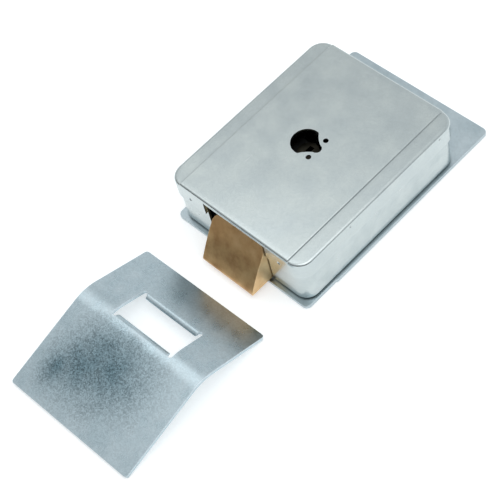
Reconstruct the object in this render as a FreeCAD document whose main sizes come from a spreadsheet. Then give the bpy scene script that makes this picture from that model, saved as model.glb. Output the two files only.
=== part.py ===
import FreeCAD, Part
import math
import os
import re
import Sketcher
from FreeCAD import Vector

# An electric rim lock for a steel gate, with the bent strike plate that lies in front of it.
# Millimetres. Z is up, and the mounting plate lies on Z = 0 with its centre at the origin.
# The bolt is thrown towards -Y, and X runs across the case.
doc = FreeCAD.newDocument("ElectricLock")
sheet = doc.addObject("Spreadsheet::Sheet", "Sizes")

# The driving sizes: name, value, what it measures.
driving_sizes = [
    ("plate_lead", 1.2, "how far the mounting plate stands out ahead of the cover"),
    ("plate_tail", 21.3, "how far it stands out behind the cover"),
    ("plate_margin", 0.5, "how far it stands out beside the cover"),
    ("plate_thick", 2, "mounting plate, sheet"),
    ("plate_corner", 3, "mounting plate, corner radius"),
    ("plate_step", 0.6, "depth of the sheared step in the long edges"),
    ("plate_step_from", 20.6, "front edge of the plate to that step"),
    ("case_length", 110, "cover, front to rear"),
    ("case_width", 89, "cover, across"),
    ("case_height", 33, "top of the cover over the mounting face"),
    ("case_corner", 8.4, "cover, outer corner radius in plan"),
    ("cover_sheet", 1, "cover, sheet"),
    ("cover_skirt", 11, "depth of the skirt below the top of the cover"),
    ("cover_bend", 1.5, "cover, outer radius where the top turns down"),
    ("cover_gap", 0.1, "fit of the cover over the case wall"),
    ("panel_raise", 0.8, "rise of the central panel over the side strips"),
    ("strip_width", 8.6, "width of each side strip"),
    ("panel_ease", 0.5, "bevel along the long edges of the central panel"),
    ("wall_sheet", 1.2, "case, sheet"),
    ("tray_bend", 1.5, "case, outer radius where the wall meets the floor"),
    ("dimple_radius", 1.1, "staking dimple of an end, radius"),
    ("dimple_radius_sides", 0.7, "staking dimple of a side, radius"),
    ("dimple_depth", 0.5, "staking dimple, depth"),
    ("dimple_drop_ends", 7.4, "end dimples below the top of the cover"),
    ("dimple_drop_sides", 3.2, "side dimples below the top of the cover"),
    ("dimple_spread", 59.2, "distance between the two dimples of an end"),
    ("dimple_from_front", 33.5, "front edge of the cover to the first side dimple"),
    ("dimple_from_rear", 13.1, "rear edge of the cover to the second side dimple"),
    ("bolt_centre", 3.1, "centre line of the bolt, across"),
    ("bolt_width", 33.8, "bolt, across"),
    ("bolt_reach", 12.7, "bolt tip ahead of the cover"),
    ("bolt_sunk", 0.5, "bolt tip behind the front of the cover when drawn back"),
    ("bolt_back_room", 1.3, "bolt to its bracket when drawn back"),
    ("bolt_floor_gap", 0.3, "bolt over the case floor"),
    ("bolt_nose", 1.6, "height of the blunt tip"),
    ("bolt_crown", 0.7, "how far the bevel bulges from straight"),
    ("bolt_bevel_back", 1.4, "where the bevel meets the top, behind the front of the cover"),
    ("bolt_round", 4, "radius along the upper edges of the bolt"),
    ("bolt_edge", 1.5, "radius along the side edges of the bevel"),
    ("window_gap_left", 5.4, "bolt to the left edge of the window in the wall"),
    ("window_gap_right", 0.6, "bolt to the right edge of the window in the wall"),
    ("notch_margin_left", 0.6, "skirt notch beyond the window, left"),
    ("notch_margin_right", 0.4, "skirt notch beyond the window, right"),
    ("guide_gap", 0.3, "bolt to the guide bridge, sides and top"),
    ("guide_sheet", 1.5, "guide bridge, sheet"),
    ("guide_top_room", 2.7, "guide bridge to the underside of the panel"),
    ("guide_from", 3, "inside of the front wall to the guide bridge"),
    ("guide_length", 18, "guide bridge along the bolt"),
    ("guide_foot", 8, "width of each foot of the guide bridge"),
    ("guide_rivet_inset", 4, "guide rivets to the ends of the guide bridge"),
    ("axis_left", 4, "key follower axis, left of the centre line"),
    ("axis_behind", 1, "key follower axis behind the middle of the cover"),
    ("keyhole_radius", 7.8, "round end of the cylinder hole"),
    ("keyhole_shoulder", 1.25, "where the flanks leave the round end, right of the axis"),
    ("keyhole_leg_reach", 6.9, "centre of the narrow end, right of the axis"),
    ("keyhole_leg_radius", 2.6, "narrow end of the cylinder hole"),
    ("screw_hole_reach", 7.3, "cylinder screw holes, right of the axis"),
    ("screw_hole_spread", 12.3, "distance between the cylinder screw holes"),
    ("screw_hole_radius", 1.4, "cylinder screw holes"),
    ("neck_radius", 8, "hole for the outer cylinder's neck in the mounting plate"),
    ("bush_bore", 4, "follower bush, bore radius"),
    ("bush_spigot", 6, "follower bush, radius of the spigot in the floor"),
    ("bush_flange", 8, "follower bush, radius of the flange"),
    ("bush_flange_thick", 1.2, "follower bush, flange"),
    ("bush_top", 8.7, "top of the follower bush over the mounting face"),
    ("running_fit", 0.1, "radial clearance of a turning fit"),
    ("axial_fit", 0.3, "end clearance of a moving piece"),
    ("hub_radius", 6.5, "follower hub, radius"),
    ("hub_top_room", 1, "follower hub to the shelf above it"),
    ("journal_radius", 5.5, "follower, upper journal"),
    ("journal_stand", 1.5, "upper journal above its bearing plate"),
    ("slot_width", 2.6, "tailpiece slot, width"),
    ("slot_length", 6.4, "tailpiece slot, length"),
    ("arm_base", 12.8, "underside of the follower arm over the mounting face"),
    ("arm_thick", 4, "follower arm, thickness"),
    ("arm_width", 7.8, "follower arm, width at its fork"),
    ("arm_reach", 18, "follower axis to the end of its fork"),
    ("stud_radius", 2, "drive studs on the bolt tail"),
    ("stud_fit", 0.3, "drive stud in its slot"),
    ("stud_long_top", 17.2, "top of the long stud over the mounting face"),
    ("stud_short_top", 11.6, "top of the short stud over the mounting face"),
    ("tail_centre", 11.5, "centre line of the bolt tail, across"),
    ("tail_width", 9, "bolt tail, width"),
    ("tail_thick", 3, "bolt tail, thickness"),
    ("tail_in_bolt", 14, "bolt tail inside the bolt"),
    ("tail_fit", 0.1, "bolt tail in its slot, each side"),
    ("tail_end", 3.5, "centre of the short stud to the end of the tail"),
    ("tail_rivet_radius", 2, "rivets that join tail and bolt"),
    ("tail_rivet_depth", 3.4, "those rivets, above the tail"),
    ("tail_rivet_pitch", 6.2, "distance between those rivets"),
    ("spring_spread", 19, "distance between the two bolt springs"),
    ("spring_pocket_radius", 4.7, "spring pocket in the bolt, radius"),
    ("spring_pocket_depth", 16, "spring pocket in the bolt, depth"),
    ("spring_mean_radius", 3.4, "bolt spring, mean radius"),
    ("spring_wire", 1, "bolt spring, wire diameter"),
    ("spring_turns", 8, "bolt spring, turns"),
    ("spring_end_pitch", 1.6, "bolt spring, pitch of the close turn at each end"),
    ("spring_seat_gap", 0.2, "bolt spring to its seats"),
    ("rod_radius", 2.4, "spring guide rod"),
    ("rod_chamfer", 0.6, "spring guide rod, chamfer of its tip"),
    ("rod_tip_room", 1.8, "guide rod to the pocket's floor with the bolt drawn back"),
    ("bracket_room", 3.2, "mechanism bracket to the long stud"),
    ("bracket_sheet", 2, "mechanism bracket, sheet"),
    ("bracket_left", 23, "mechanism bracket, left end from the centre line"),
    ("bracket_right", 27, "mechanism bracket, right end from the centre line"),
    ("bracket_top_room", 8, "mechanism bracket to the underside of the panel"),
    ("bracket_foot", 8, "feet of the mechanism bracket, across and along"),
    ("shelf_left", 13, "bearing shelf, left end from the centre line"),
    ("shelf_right", 5, "bearing shelf, right end from the centre line"),
    ("shelf_depth", 19, "bearing shelf, along the case"),
    ("tail_notch_gap", 0.5, "bracket notch round the bolt tail"),
    ("pivot_margin", 5.7, "lever pivot to the inside of the case wall"),
    ("pivot_behind", 10.6, "lever pivot behind the key follower axis"),
    ("pivot_radius", 2.5, "lever pivot pin"),
    ("pivot_shoulder", 4, "lever pivot pin, radius of its shoulder"),
    ("pin_chamfer", 0.4, "chamfer at the ends of the pins"),
    ("pivot_top", 14, "top of the lever pivot pin over the mounting face"),
    ("lever_base", 8, "underside of the lever over the mounting face"),
    ("lever_thick", 3, "lever, thickness"),
    ("lever_boss", 4.6, "lever, radius round its pivot"),
    ("lever_width", 8.6, "lever, width at its slots"),
    ("lever_taper", 8, "lever, length that tapers from its boss"),
    ("lever_past_stud", 5.4, "lever beyond the bolt stud"),
    ("lever_slot_play", 2.4, "length of a lever slot beyond its stud"),
    ("clip_thick", 0.8, "retaining clip, thickness"),
    ("clip_radius", 4.4, "retaining clip, radius"),
    ("plunger_arm", 14.5, "plunger axis to the lever pivot, across"),
    ("plunger_radius", 5, "plunger"),
    ("plunger_fit", 0.3, "plunger in the bobbin, radial"),
    ("plunger_nose", 6, "plunger ahead of its cross pin"),
    ("tongue_length", 11, "flattened front end of the plunger"),
    ("tongue_thick", 5, "flattened front end, thickness"),
    ("cross_pin_radius", 1.75, "plunger cross pin"),
    ("cross_pin_proud", 1, "cross pin above the plunger's flat end"),
    ("cross_pin_below", 0.4, "cross pin below the lever"),
    ("yoke_behind", 12, "front of the solenoid yoke behind the lever pivot"),
    ("yoke_rear_room", 0.6, "solenoid yoke to the rear wall"),
    ("yoke_width", 27, "solenoid yoke, across"),
    ("yoke_sheet", 3, "solenoid yoke, sheet"),
    ("yoke_top_room", 1.7, "solenoid yoke to the underside of the side strip"),
    ("yoke_screw_pitch", 11.4, "distance between the two yoke screws"),
    ("bobbin_flange", 1.5, "bobbin flange, thickness"),
    ("bobbin_room", 0.35, "bobbin flange to the yoke, above and below"),
    ("bobbin_wall", 1.2, "bobbin tube, wall"),
    ("bobbin_corner", 2.8, "bobbin flange, corner radius"),
    ("winding_below", 0.7, "winding below the rim of the bobbin flange"),
    ("core_length", 5.2, "fixed core, ahead of the yoke"),
    ("core_shank", 4, "fixed core, radius in the yoke"),
    ("core_stroke_gap", 0.5, "plunger to the core when fully drawn in"),
    ("block_margin", 8.2, "terminal block to the inside of the left wall"),
    ("block_width", 12, "terminal block, across"),
    ("block_length", 20, "terminal block, along the case"),
    ("block_height", 11.8, "terminal block, height"),
    ("block_shoulder", 3.2, "step of the terminal block, along and down"),
    ("block_rear_room", 4.7, "terminal block to the rear wall"),
    ("terminal_pitch", 10, "distance between the two terminals"),
    ("terminal_line", 4, "wire mouths over the case floor"),
    ("terminal_mouth", 1.7, "wire mouth, radius"),
    ("terminal_screw", 1.9, "clamping screw, radius"),
    ("terminal_screw_room", 0.3, "clamping screw in its well, radial"),
    ("terminal_screw_sunk", 1.2, "clamping screw below the top of the block"),
    ("driver_slot", 0.7, "driver slots, width and depth"),
    ("block_screw_radius", 1.5, "screw that holds the terminal block, shank"),
    ("block_screw_head", 2.8, "screw that holds the terminal block, head radius"),
    ("block_screw_face", 2.2, "screw that holds the terminal block, flat of the head, radius"),
    ("block_screw_crown", 1.5, "screw that holds the terminal block, height of the head"),
    ("inlet_left", 10, "cable inlet, left of the centre line"),
    ("inlet_below", 1, "grommet lip below the skirt"),
    ("inlet_radius", 5, "hole for the grommet in the rear wall"),
    ("grommet_bore", 3, "grommet, bore radius"),
    ("grommet_lip", 6.5, "grommet, radius of its lips"),
    ("grommet_lip_thick", 1.5, "grommet lip, thickness"),
    ("grommet_chamfer", 0.5, "grommet lip, chamfer"),
    ("lead_radius", 0.7, "coil lead, radius"),
    ("lead_run", 7, "straight run of a lead before its first bend"),
    ("lead_line", 11, "lower lead at the bobbin, over the mounting face"),
    ("lead_pitch", 3, "distance between the leads at the bobbin"),
    ("lead_past_screw", 1, "end of a lead beyond its clamping screw"),
    ("rivet_radius", 1.5, "floor rivet, shank"),
    ("rivet_head", 2.4, "floor rivet, head radius"),
    ("rivet_crown", 1.2, "floor rivet, height of the head"),
    ("rivet_face", 1.2, "floor rivet, flat of the head, radius"),
    ("rivet_wall_room", 1.3, "case rivet head to the inside of the case wall"),
    ("strike_width", 79.5, "strike plate, across"),
    ("strike_sheet", 2, "strike plate, sheet"),
    ("strike_height", 16.5, "where its two slopes would meet, over the floor"),
    ("strike_bend", 21, "strike plate, outer radius of the bend"),
    ("strike_near", 53.8, "strike plate, that line to its front edge in plan"),
    ("strike_far", 38.4, "strike plate, that line to its rear edge in plan"),
    ("strike_ahead", 63.8, "that line ahead of the cover"),
    ("strike_turn", 1.2, "strike plate, turned about the vertical, degrees"),
    ("strike_corner", 1.5, "strike plate, corner radius"),
    ("strike_slot_left", 19.6, "strike slot, left end from the plate's centre line"),
    ("strike_slot_right", 20.2, "strike slot, right end from the plate's centre line"),
    ("strike_slot_start", -0.1, "centres of the near relief holes behind the bend line"),
    ("strike_slot_end", 18, "centres of the far relief holes behind the bend line"),
    ("strike_relief_radius", 1.4, "relief holes at the corners of the slot"),
    ("strike_lip_radius", 2.6, "outer radius of the rolled lips of the slot"),
    ("strike_lip_sheet", 1.5, "sheet of the rolled lips, thinned by the roll"),
    ("strike_lip_roll", 80, "how far the lips are rolled, degrees"),
    ("strike_lip_root", 0.4, "lip, length that runs on into the sheet"),
]
# A coil's centre line has this many pairs of arcs a turn, and a bend takes this share of its shorter run.
TURN_STEPS = 2
BEND_SHARE = 0.45
size_names = {name for name, value, note in driving_sizes}
for row, (name, value, note) in enumerate(driving_sizes, start=1):
    sheet.set(f"A{row}", note)
    sheet.set(f"B{row}", str(value))
    sheet.setAlias(f"B{row}", name)
doc.recompute()


def tied(expression):
    """Put the sheet's name before each of its sizes."""
    return re.sub(r"[a-z_]+\b(?!\()", lambda word: (
        "Sizes." + word.group() if word.group() in size_names else word.group()), expression)


def value_of(expression):
    return float(sheet.evalExpression(tied(expression)))


def plane_of(body, role):
    return [plane for plane in body.Origin.OriginFeatures if plane.Role == role][0]


def make_body(label):
    body = doc.addObject("PartDesign::Body", label)
    body.Label = label
    return body


def new_sketch(body, name, role, offset):
    sketch = body.newObject("Sketcher::SketchObject", name)
    sketch.AttachmentSupport = [(plane_of(body, role), "")]
    sketch.MapMode = "FlatFace"
    sketch.setExpression(".AttachmentOffset.Base.z", tied(offset))
    return sketch


def tie_point(sketch, geometry, end, x, y):
    for kind, expression in (("DistanceX", x), ("DistanceY", y)):
        index = sketch.addConstraint(Sketcher.Constraint(
            kind, -1, 1, geometry, end, value_of(expression)))
        sketch.setExpression(f"Constraints[{index}]", tied(expression))


def draw_outline(sketch, corners):
    """A closed outline of (x, y) corners, drawn anticlockwise.

    (x, y, radius) starts an outward arc to the next corner, and (x, y, radius, centre x) ties
    that arc by its centre, which also allows more than half a circle."""
    points = [Vector(value_of(corner[0]), value_of(corner[1]), 0) for corner in corners]
    first = sketch.GeometryCount
    count = len(corners)
    ends = []
    for i, corner in enumerate(corners):
        start, end = points[i], points[(i + 1) % count]
        if len(corner) == 2:
            sketch.addGeometry(Part.LineSegment(start, end), False)
            ends.append((1, 2))
            continue
        radius = value_of(corner[2])
        chord = end - start
        outward = Vector(chord.y, -chord.x, 0).normalize()
        middle = (start + end) * 0.5
        depth = math.sqrt(max(radius ** 2 - (chord.Length / 2) ** 2, 0))
        if len(corner) > 3 and (value_of(corner[3]) - middle.x) * outward.x > 0:
            depth = -depth
        index = sketch.addGeometry(Part.Arc(start, middle + outward * (radius - depth), end), False)
        kept = sketch.Geometry[index]
        forward = kept.StartPoint.distanceToPoint(start) < kept.EndPoint.distanceToPoint(start)
        ends.append((1, 2) if forward else (2, 1))
    for i in range(count):
        following = (i + 1) % count
        sketch.addConstraint(Sketcher.Constraint(
            "Coincident", first + i, ends[i][1], first + following, ends[following][0]))
    for i, corner in enumerate(corners):
        tie_point(sketch, first + i, ends[i][0], corner[0], corner[1])
        if len(corner) == 3:
            index = sketch.addConstraint(Sketcher.Constraint("Radius", first + i, value_of(corner[2])))
            sketch.setExpression(f"Constraints[{index}]", tied(corner[2]))
        elif len(corner) == 4:
            index = sketch.addConstraint(Sketcher.Constraint(
                "DistanceX", -1, 1, first + i, 3, value_of(corner[3])))
            sketch.setExpression(f"Constraints[{index}]", tied(corner[3]))
    return sketch


def draw_box(sketch, left, right, near, far):
    return draw_outline(sketch, [(left, near), (right, near), (right, far), (left, far)])


def draw_circle(sketch, x, y, radius):
    centre = Vector(value_of(x), value_of(y), 0)
    index = sketch.addGeometry(Part.Circle(centre, Vector(0, 0, 1), value_of(radius)), False)
    tie_point(sketch, index, 3, x, y)
    constraint = sketch.addConstraint(Sketcher.Constraint("Radius", index, value_of(radius)))
    sketch.setExpression(f"Constraints[{constraint}]", tied(radius))
    return sketch


def swept(body, kind, name, sketch, length, reverse=False):
    """A Pad or a Pocket. A Pocket has to take material away, a Pad has to add some."""
    before = body.Shape.Volume if body.Tip else 0
    feature = body.newObject("PartDesign::" + kind, name)
    feature.Profile = sketch
    feature.setExpression("Length", tied(length))
    feature.Reversed = reverse
    doc.recompute()
    change = body.Shape.Volume - before
    if abs(change) < 1e-6 or (change > 0) != (kind == "Pad"):
        raise RuntimeError(f"{body.Label}: {name} changes the volume by {change:.3f}")
    return feature


def edges_where(feature, test):
    names = []
    for index, edge in enumerate(feature.Shape.Edges, start=1):
        ends = [vertex.Point for vertex in edge.Vertexes]
        if len(ends) == 2 and test(ends[0], ends[1], edge):
            names.append(f"Edge{index}")
    return names


def rounded(body, kind, name, feature, test, size):
    names = edges_where(feature, test)
    if not names:
        raise RuntimeError(f"{body.Label}: {name} finds no edge")
    dressed = body.newObject("PartDesign::" + kind, name)
    dressed.Base = (feature, names)
    dressed.setExpression("Radius" if kind == "Fillet" else "Size", tied(size))
    doc.recompute()
    if not dressed.isValid():
        raise RuntimeError(f"{body.Label}: {name} fails")
    return dressed


def upright(start, end, edge):
    return abs(start.x - end.x) < 1e-6 and abs(start.y - end.y) < 1e-6


def level_at(height):
    def test(start, end, edge):
        return abs(start.z - height) < 1e-6 and abs(end.z - height) < 1e-6
    return test


def group(label, solids):
    """Separate solids that share one node."""
    feature = doc.addObject("Part::Feature", label)
    feature.Label = label
    feature.Shape = Part.makeCompound(solids) if len(solids) > 1 else solids[0]
    return feature


def spun(points, x=0, y=0, z=0, direction=Vector(0, 0, 1)):
    """A turned piece from its half section of (radius, height) points, set on a point."""
    wire = Part.makePolygon([Vector(radius, 0, height) for radius, height in points + points[:1]])
    solid = Part.Face(wire).revolve(Vector(), Vector(0, 0, 1), 360)
    solid.Placement = FreeCAD.Placement(
        Vector(x, y, z), FreeCAD.Rotation(Vector(0, 0, 1), direction))
    return solid


def countersunk_rivet(x, y, top):
    """A rivet through the floor and the mounting plate, flush with the underside."""
    shank = value_of("rivet_radius")
    head = value_of("rivet_head")
    face = value_of("rivet_face")
    crown = value_of("rivet_crown")
    sink = head - shank
    return spun([(0, 0), (head, 0), (shank, sink), (shank, top), (head, top),
                 (face, top + crown), (0, top + crown)], x, y)


def countersunk_screw(x, y, top):
    """A slotted screw from below, flush with the underside and with the piece that it holds."""
    shank = value_of("rivet_radius")
    head = value_of("rivet_head")
    slot = value_of("driver_slot")
    turned = spun([(0, 0), (head, 0), (shank, head - shank), (shank, top), (0, top)], x, y)
    return turned.cut(Part.makeBox(2 * head, slot, slot, Vector(x - head, y - slot / 2, 0)))


def rivet_cutters(places, top):
    """The countersunk holes that those rivets fill, with a hair of room."""
    shank = value_of("rivet_radius")
    head = value_of("rivet_head")
    room = value_of("running_fit / 2")
    sink = head - shank
    beyond = top + sink
    return [spun([(0, -sink), (head + room, -sink), (head + room, 0), (shank + room, sink),
                  (shank + room, beyond), (0, beyond)], x, y) for x, y in places]


# Lines that several pieces share, as expressions of the driving sizes.
plate_length = "(plate_lead + case_length + plate_tail)"
plate_width = "(case_width + 2 * plate_margin)"
case_front = f"(plate_lead - {plate_length} / 2)"
case_rear = f"({case_front} + case_length)"
cover_shift = "(cover_sheet + cover_gap)"
wall_side = f"(case_width / 2 - {cover_shift})"
wall_front = f"({case_front} + {cover_shift})"
wall_rear = f"({case_rear} - {cover_shift})"
wall_corner = f"(case_corner - {cover_shift})"
inner_side = f"({wall_side} - wall_sheet)"
inner_front = f"({wall_front} + wall_sheet)"
inner_rear = f"({wall_rear} - wall_sheet)"
inner_corner = f"({wall_corner} - wall_sheet)"
floor_top = "(plate_thick + wall_sheet)"
strip_top = "(case_height - panel_raise)"
wall_top = f"({strip_top} - {cover_shift})"
skirt_foot = "(case_height - cover_skirt)"
panel_side = "(case_width / 2 - strip_width)"
axis_x = "(-axis_left)"
axis_y = f"({case_front} + case_length / 2 + axis_behind)"
bolt_travel = "(bolt_reach + bolt_sunk)"
bolt_left = "(bolt_centre - bolt_width / 2)"
bolt_right = "(bolt_centre + bolt_width / 2)"
bolt_under = f"({floor_top} + bolt_floor_gap)"
panel_under = "(case_height - cover_sheet)"
bolt_top = f"({panel_under} - guide_top_room - guide_sheet - guide_gap)"
bolt_height = f"({bolt_top} - {bolt_under})"
spring_line = f"({bolt_under} + {bolt_height} / 2)"
bolt_tip = f"({case_front} - bolt_reach)"
window_left = f"({bolt_left} - window_gap_left)"
window_right = f"({bolt_right} + window_gap_right)"
tail_top = f"({bolt_under} + tail_thick)"
stud_arm = "(tail_centre + axis_left)"
long_stud_y = f"({axis_y} - {bolt_travel} / 2)"
bracket_back = f"({long_stud_y} - stud_radius - bracket_room)"
bracket_front = f"({bracket_back} - bracket_sheet)"
bracket_top = f"({panel_under} - bracket_top_room)"
bolt_back = f"({bracket_front} - bolt_back_room - {bolt_travel})"
rod_reach = "(spring_pocket_depth + bolt_back_room - rod_tip_room)"
pivot_x = f"({inner_side} - pivot_margin)"
pivot_y = f"({axis_y} + pivot_behind)"
short_stud_y = f"({pivot_y} - {bolt_travel} / 2)"
lever_arm = f"({pivot_x} - tail_centre)"
lever_top = "(lever_base + lever_thick)"
plunger_x = f"({pivot_x} - plunger_arm)"
plunger_travel = f"({bolt_travel} * plunger_arm / {lever_arm})"
cross_pin_y = f"({pivot_y} - {plunger_travel} / 2)"
yoke_y = f"({pivot_y} + yoke_behind)"
yoke_end = f"({inner_rear} - yoke_rear_room)"
yoke_length = f"({yoke_end} - {yoke_y})"
yoke_left = f"({plunger_x} - yoke_width / 2)"
yoke_base = f"({floor_top} + yoke_sheet)"
yoke_top = f"({strip_top} - cover_sheet - yoke_top_room)"
plunger_line = f"(({yoke_base} + {yoke_top}) / 2)"
bobbin_half = f"(({yoke_top} - {yoke_base}) / 2 - bobbin_room)"
core_front = f"({yoke_end} - yoke_sheet - core_length)"
plunger_front = f"({cross_pin_y} - plunger_nose)"
plunger_end = f"({core_front} - core_stroke_gap - {plunger_travel})"
plunger_length = f"({plunger_end} - {plunger_front})"
block_x = f"(-{inner_side} + block_margin)"
block_y = f"({inner_rear} - block_rear_room - block_length)"
inlet_line = f"({skirt_foot} - inlet_below - grommet_lip)"

# The rivet rows, by what they hold.
floor_height = value_of(floor_top)
case_rivets = [
    (sign * value_of(f"{inner_side} - rivet_head - rivet_wall_room"), y)
    for sign in (-1, 1)
    for y in (value_of(f"{inner_front} + case_corner"), value_of(f"{inner_rear} - case_corner"))]
guide_left_foot = value_of(f"{bolt_left} - guide_gap - guide_sheet - guide_foot / 2")
guide_right_foot = value_of(f"{bolt_right} + guide_gap + guide_sheet + guide_foot / 2")
guide_rivets = [
    (x, value_of(f"{inner_front} + guide_from + {along}"))
    for x in (guide_left_foot, guide_right_foot)
    for along in ("guide_rivet_inset", "guide_length - guide_rivet_inset")]
bracket_rivets = [
    (value_of("-bracket_left + bracket_foot / 2"), value_of(f"{bracket_back} + bracket_foot / 2")),
    (value_of("bracket_right - bracket_foot / 2"), value_of(f"{bracket_back} + bracket_foot / 2"))]
yoke_screws = [
    (value_of(plunger_x), value_of(f"{yoke_y} + {yoke_length} / 2 {sign} yoke_screw_pitch / 2"))
    for sign in ("-", "+")]
all_floor_rivets = case_rivets + guide_rivets + bracket_rivets


def make_mounting_plate():
    """The flat sheet that is welded to the gate, with a small step in each long edge."""
    body = make_body("mounting_plate")
    half = f"{plate_width} / 2"
    front = f"(-{plate_length} / 2)"
    step_y = f"({front} + plate_step_from)"
    outline = draw_outline(new_sketch(body, "plate_outline", "XY_Plane", "0"), [
        (f"-{half} + plate_step", front), (f"{half} - plate_step", front),
        (f"{half} - plate_step", step_y), (half, step_y),
        (half, f"{plate_length} / 2"), (f"-{half}", f"{plate_length} / 2"),
        (f"-{half}", step_y), (f"-{half} + plate_step", step_y)])
    pad = swept(body, "Pad", "plate_sheet", outline, "plate_thick")
    reach = value_of(plate_length) / 2

    def outer_corner(start, end, edge):
        return upright(start, end, edge) and abs(abs(start.y) - reach) < 1e-6
    rounded(body, "Fillet", "plate_corners", pad, outer_corner, "plate_corner")
    neck = draw_circle(new_sketch(body, "neck_circle", "XY_Plane", "0"), axis_x, axis_y, "neck_radius")
    swept(body, "Pocket", "neck_hole", neck, "plate_thick", reverse=True)
    return body


def make_case():
    """The drawn tray that holds the mechanism, with the bolt window and the cable inlet."""
    body = make_body("case_body")
    outline = draw_box(new_sketch(body, "tray_outline", "XY_Plane", "plate_thick"),
                       f"-{wall_side}", wall_side, wall_front, wall_rear)
    block = swept(body, "Pad", "tray_block", outline, f"{wall_top} - plate_thick")
    corners = rounded(body, "Fillet", "tray_corners", block, upright, wall_corner)
    foot = level_at(value_of("plate_thick"))
    bend = rounded(body, "Fillet", "tray_bend", corners, foot, "tray_bend")
    inside = draw_outline(new_sketch(body, "tray_inside", "XY_Plane", floor_top), [
        (f"-{inner_side} + {inner_corner}", inner_front),
        (f"{inner_side} - {inner_corner}", inner_front, inner_corner),
        (inner_side, f"{inner_front} + {inner_corner}"),
        (inner_side, f"{inner_rear} - {inner_corner}", inner_corner),
        (f"{inner_side} - {inner_corner}", inner_rear),
        (f"-{inner_side} + {inner_corner}", inner_rear, inner_corner),
        (f"-{inner_side}", f"{inner_rear} - {inner_corner}"),
        (f"-{inner_side}", f"{inner_front} + {inner_corner}", inner_corner)])
    hollow = swept(body, "Pocket", "tray_hollow", inside, f"{wall_top} - {floor_top}", reverse=True)
    inner_foot = level_at(value_of(floor_top))
    rounded(body, "Fillet", "tray_inner_bend", hollow, inner_foot, "tray_bend - wall_sheet")
    window = draw_box(new_sketch(body, "window_outline", "XZ_Plane", f"-{inner_front} - tray_bend"),
                      window_left, window_right, floor_top, wall_top)
    swept(body, "Pocket", "bolt_window", window, "tray_bend + 2 * wall_sheet", reverse=True)
    inlet = draw_circle(new_sketch(body, "inlet_circle", "XZ_Plane", f"-{inner_rear} + wall_sheet"),
                        "-inlet_left", inlet_line, "inlet_radius")
    swept(body, "Pocket", "cable_inlet", inlet, "3 * wall_sheet")
    seat = draw_circle(new_sketch(body, "bush_circle", "XY_Plane", "plate_thick"),
                       axis_x, axis_y, "bush_spigot + running_fit / 2")
    swept(body, "Pocket", "bush_hole", seat, "wall_sheet", reverse=True)
    return body


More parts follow.
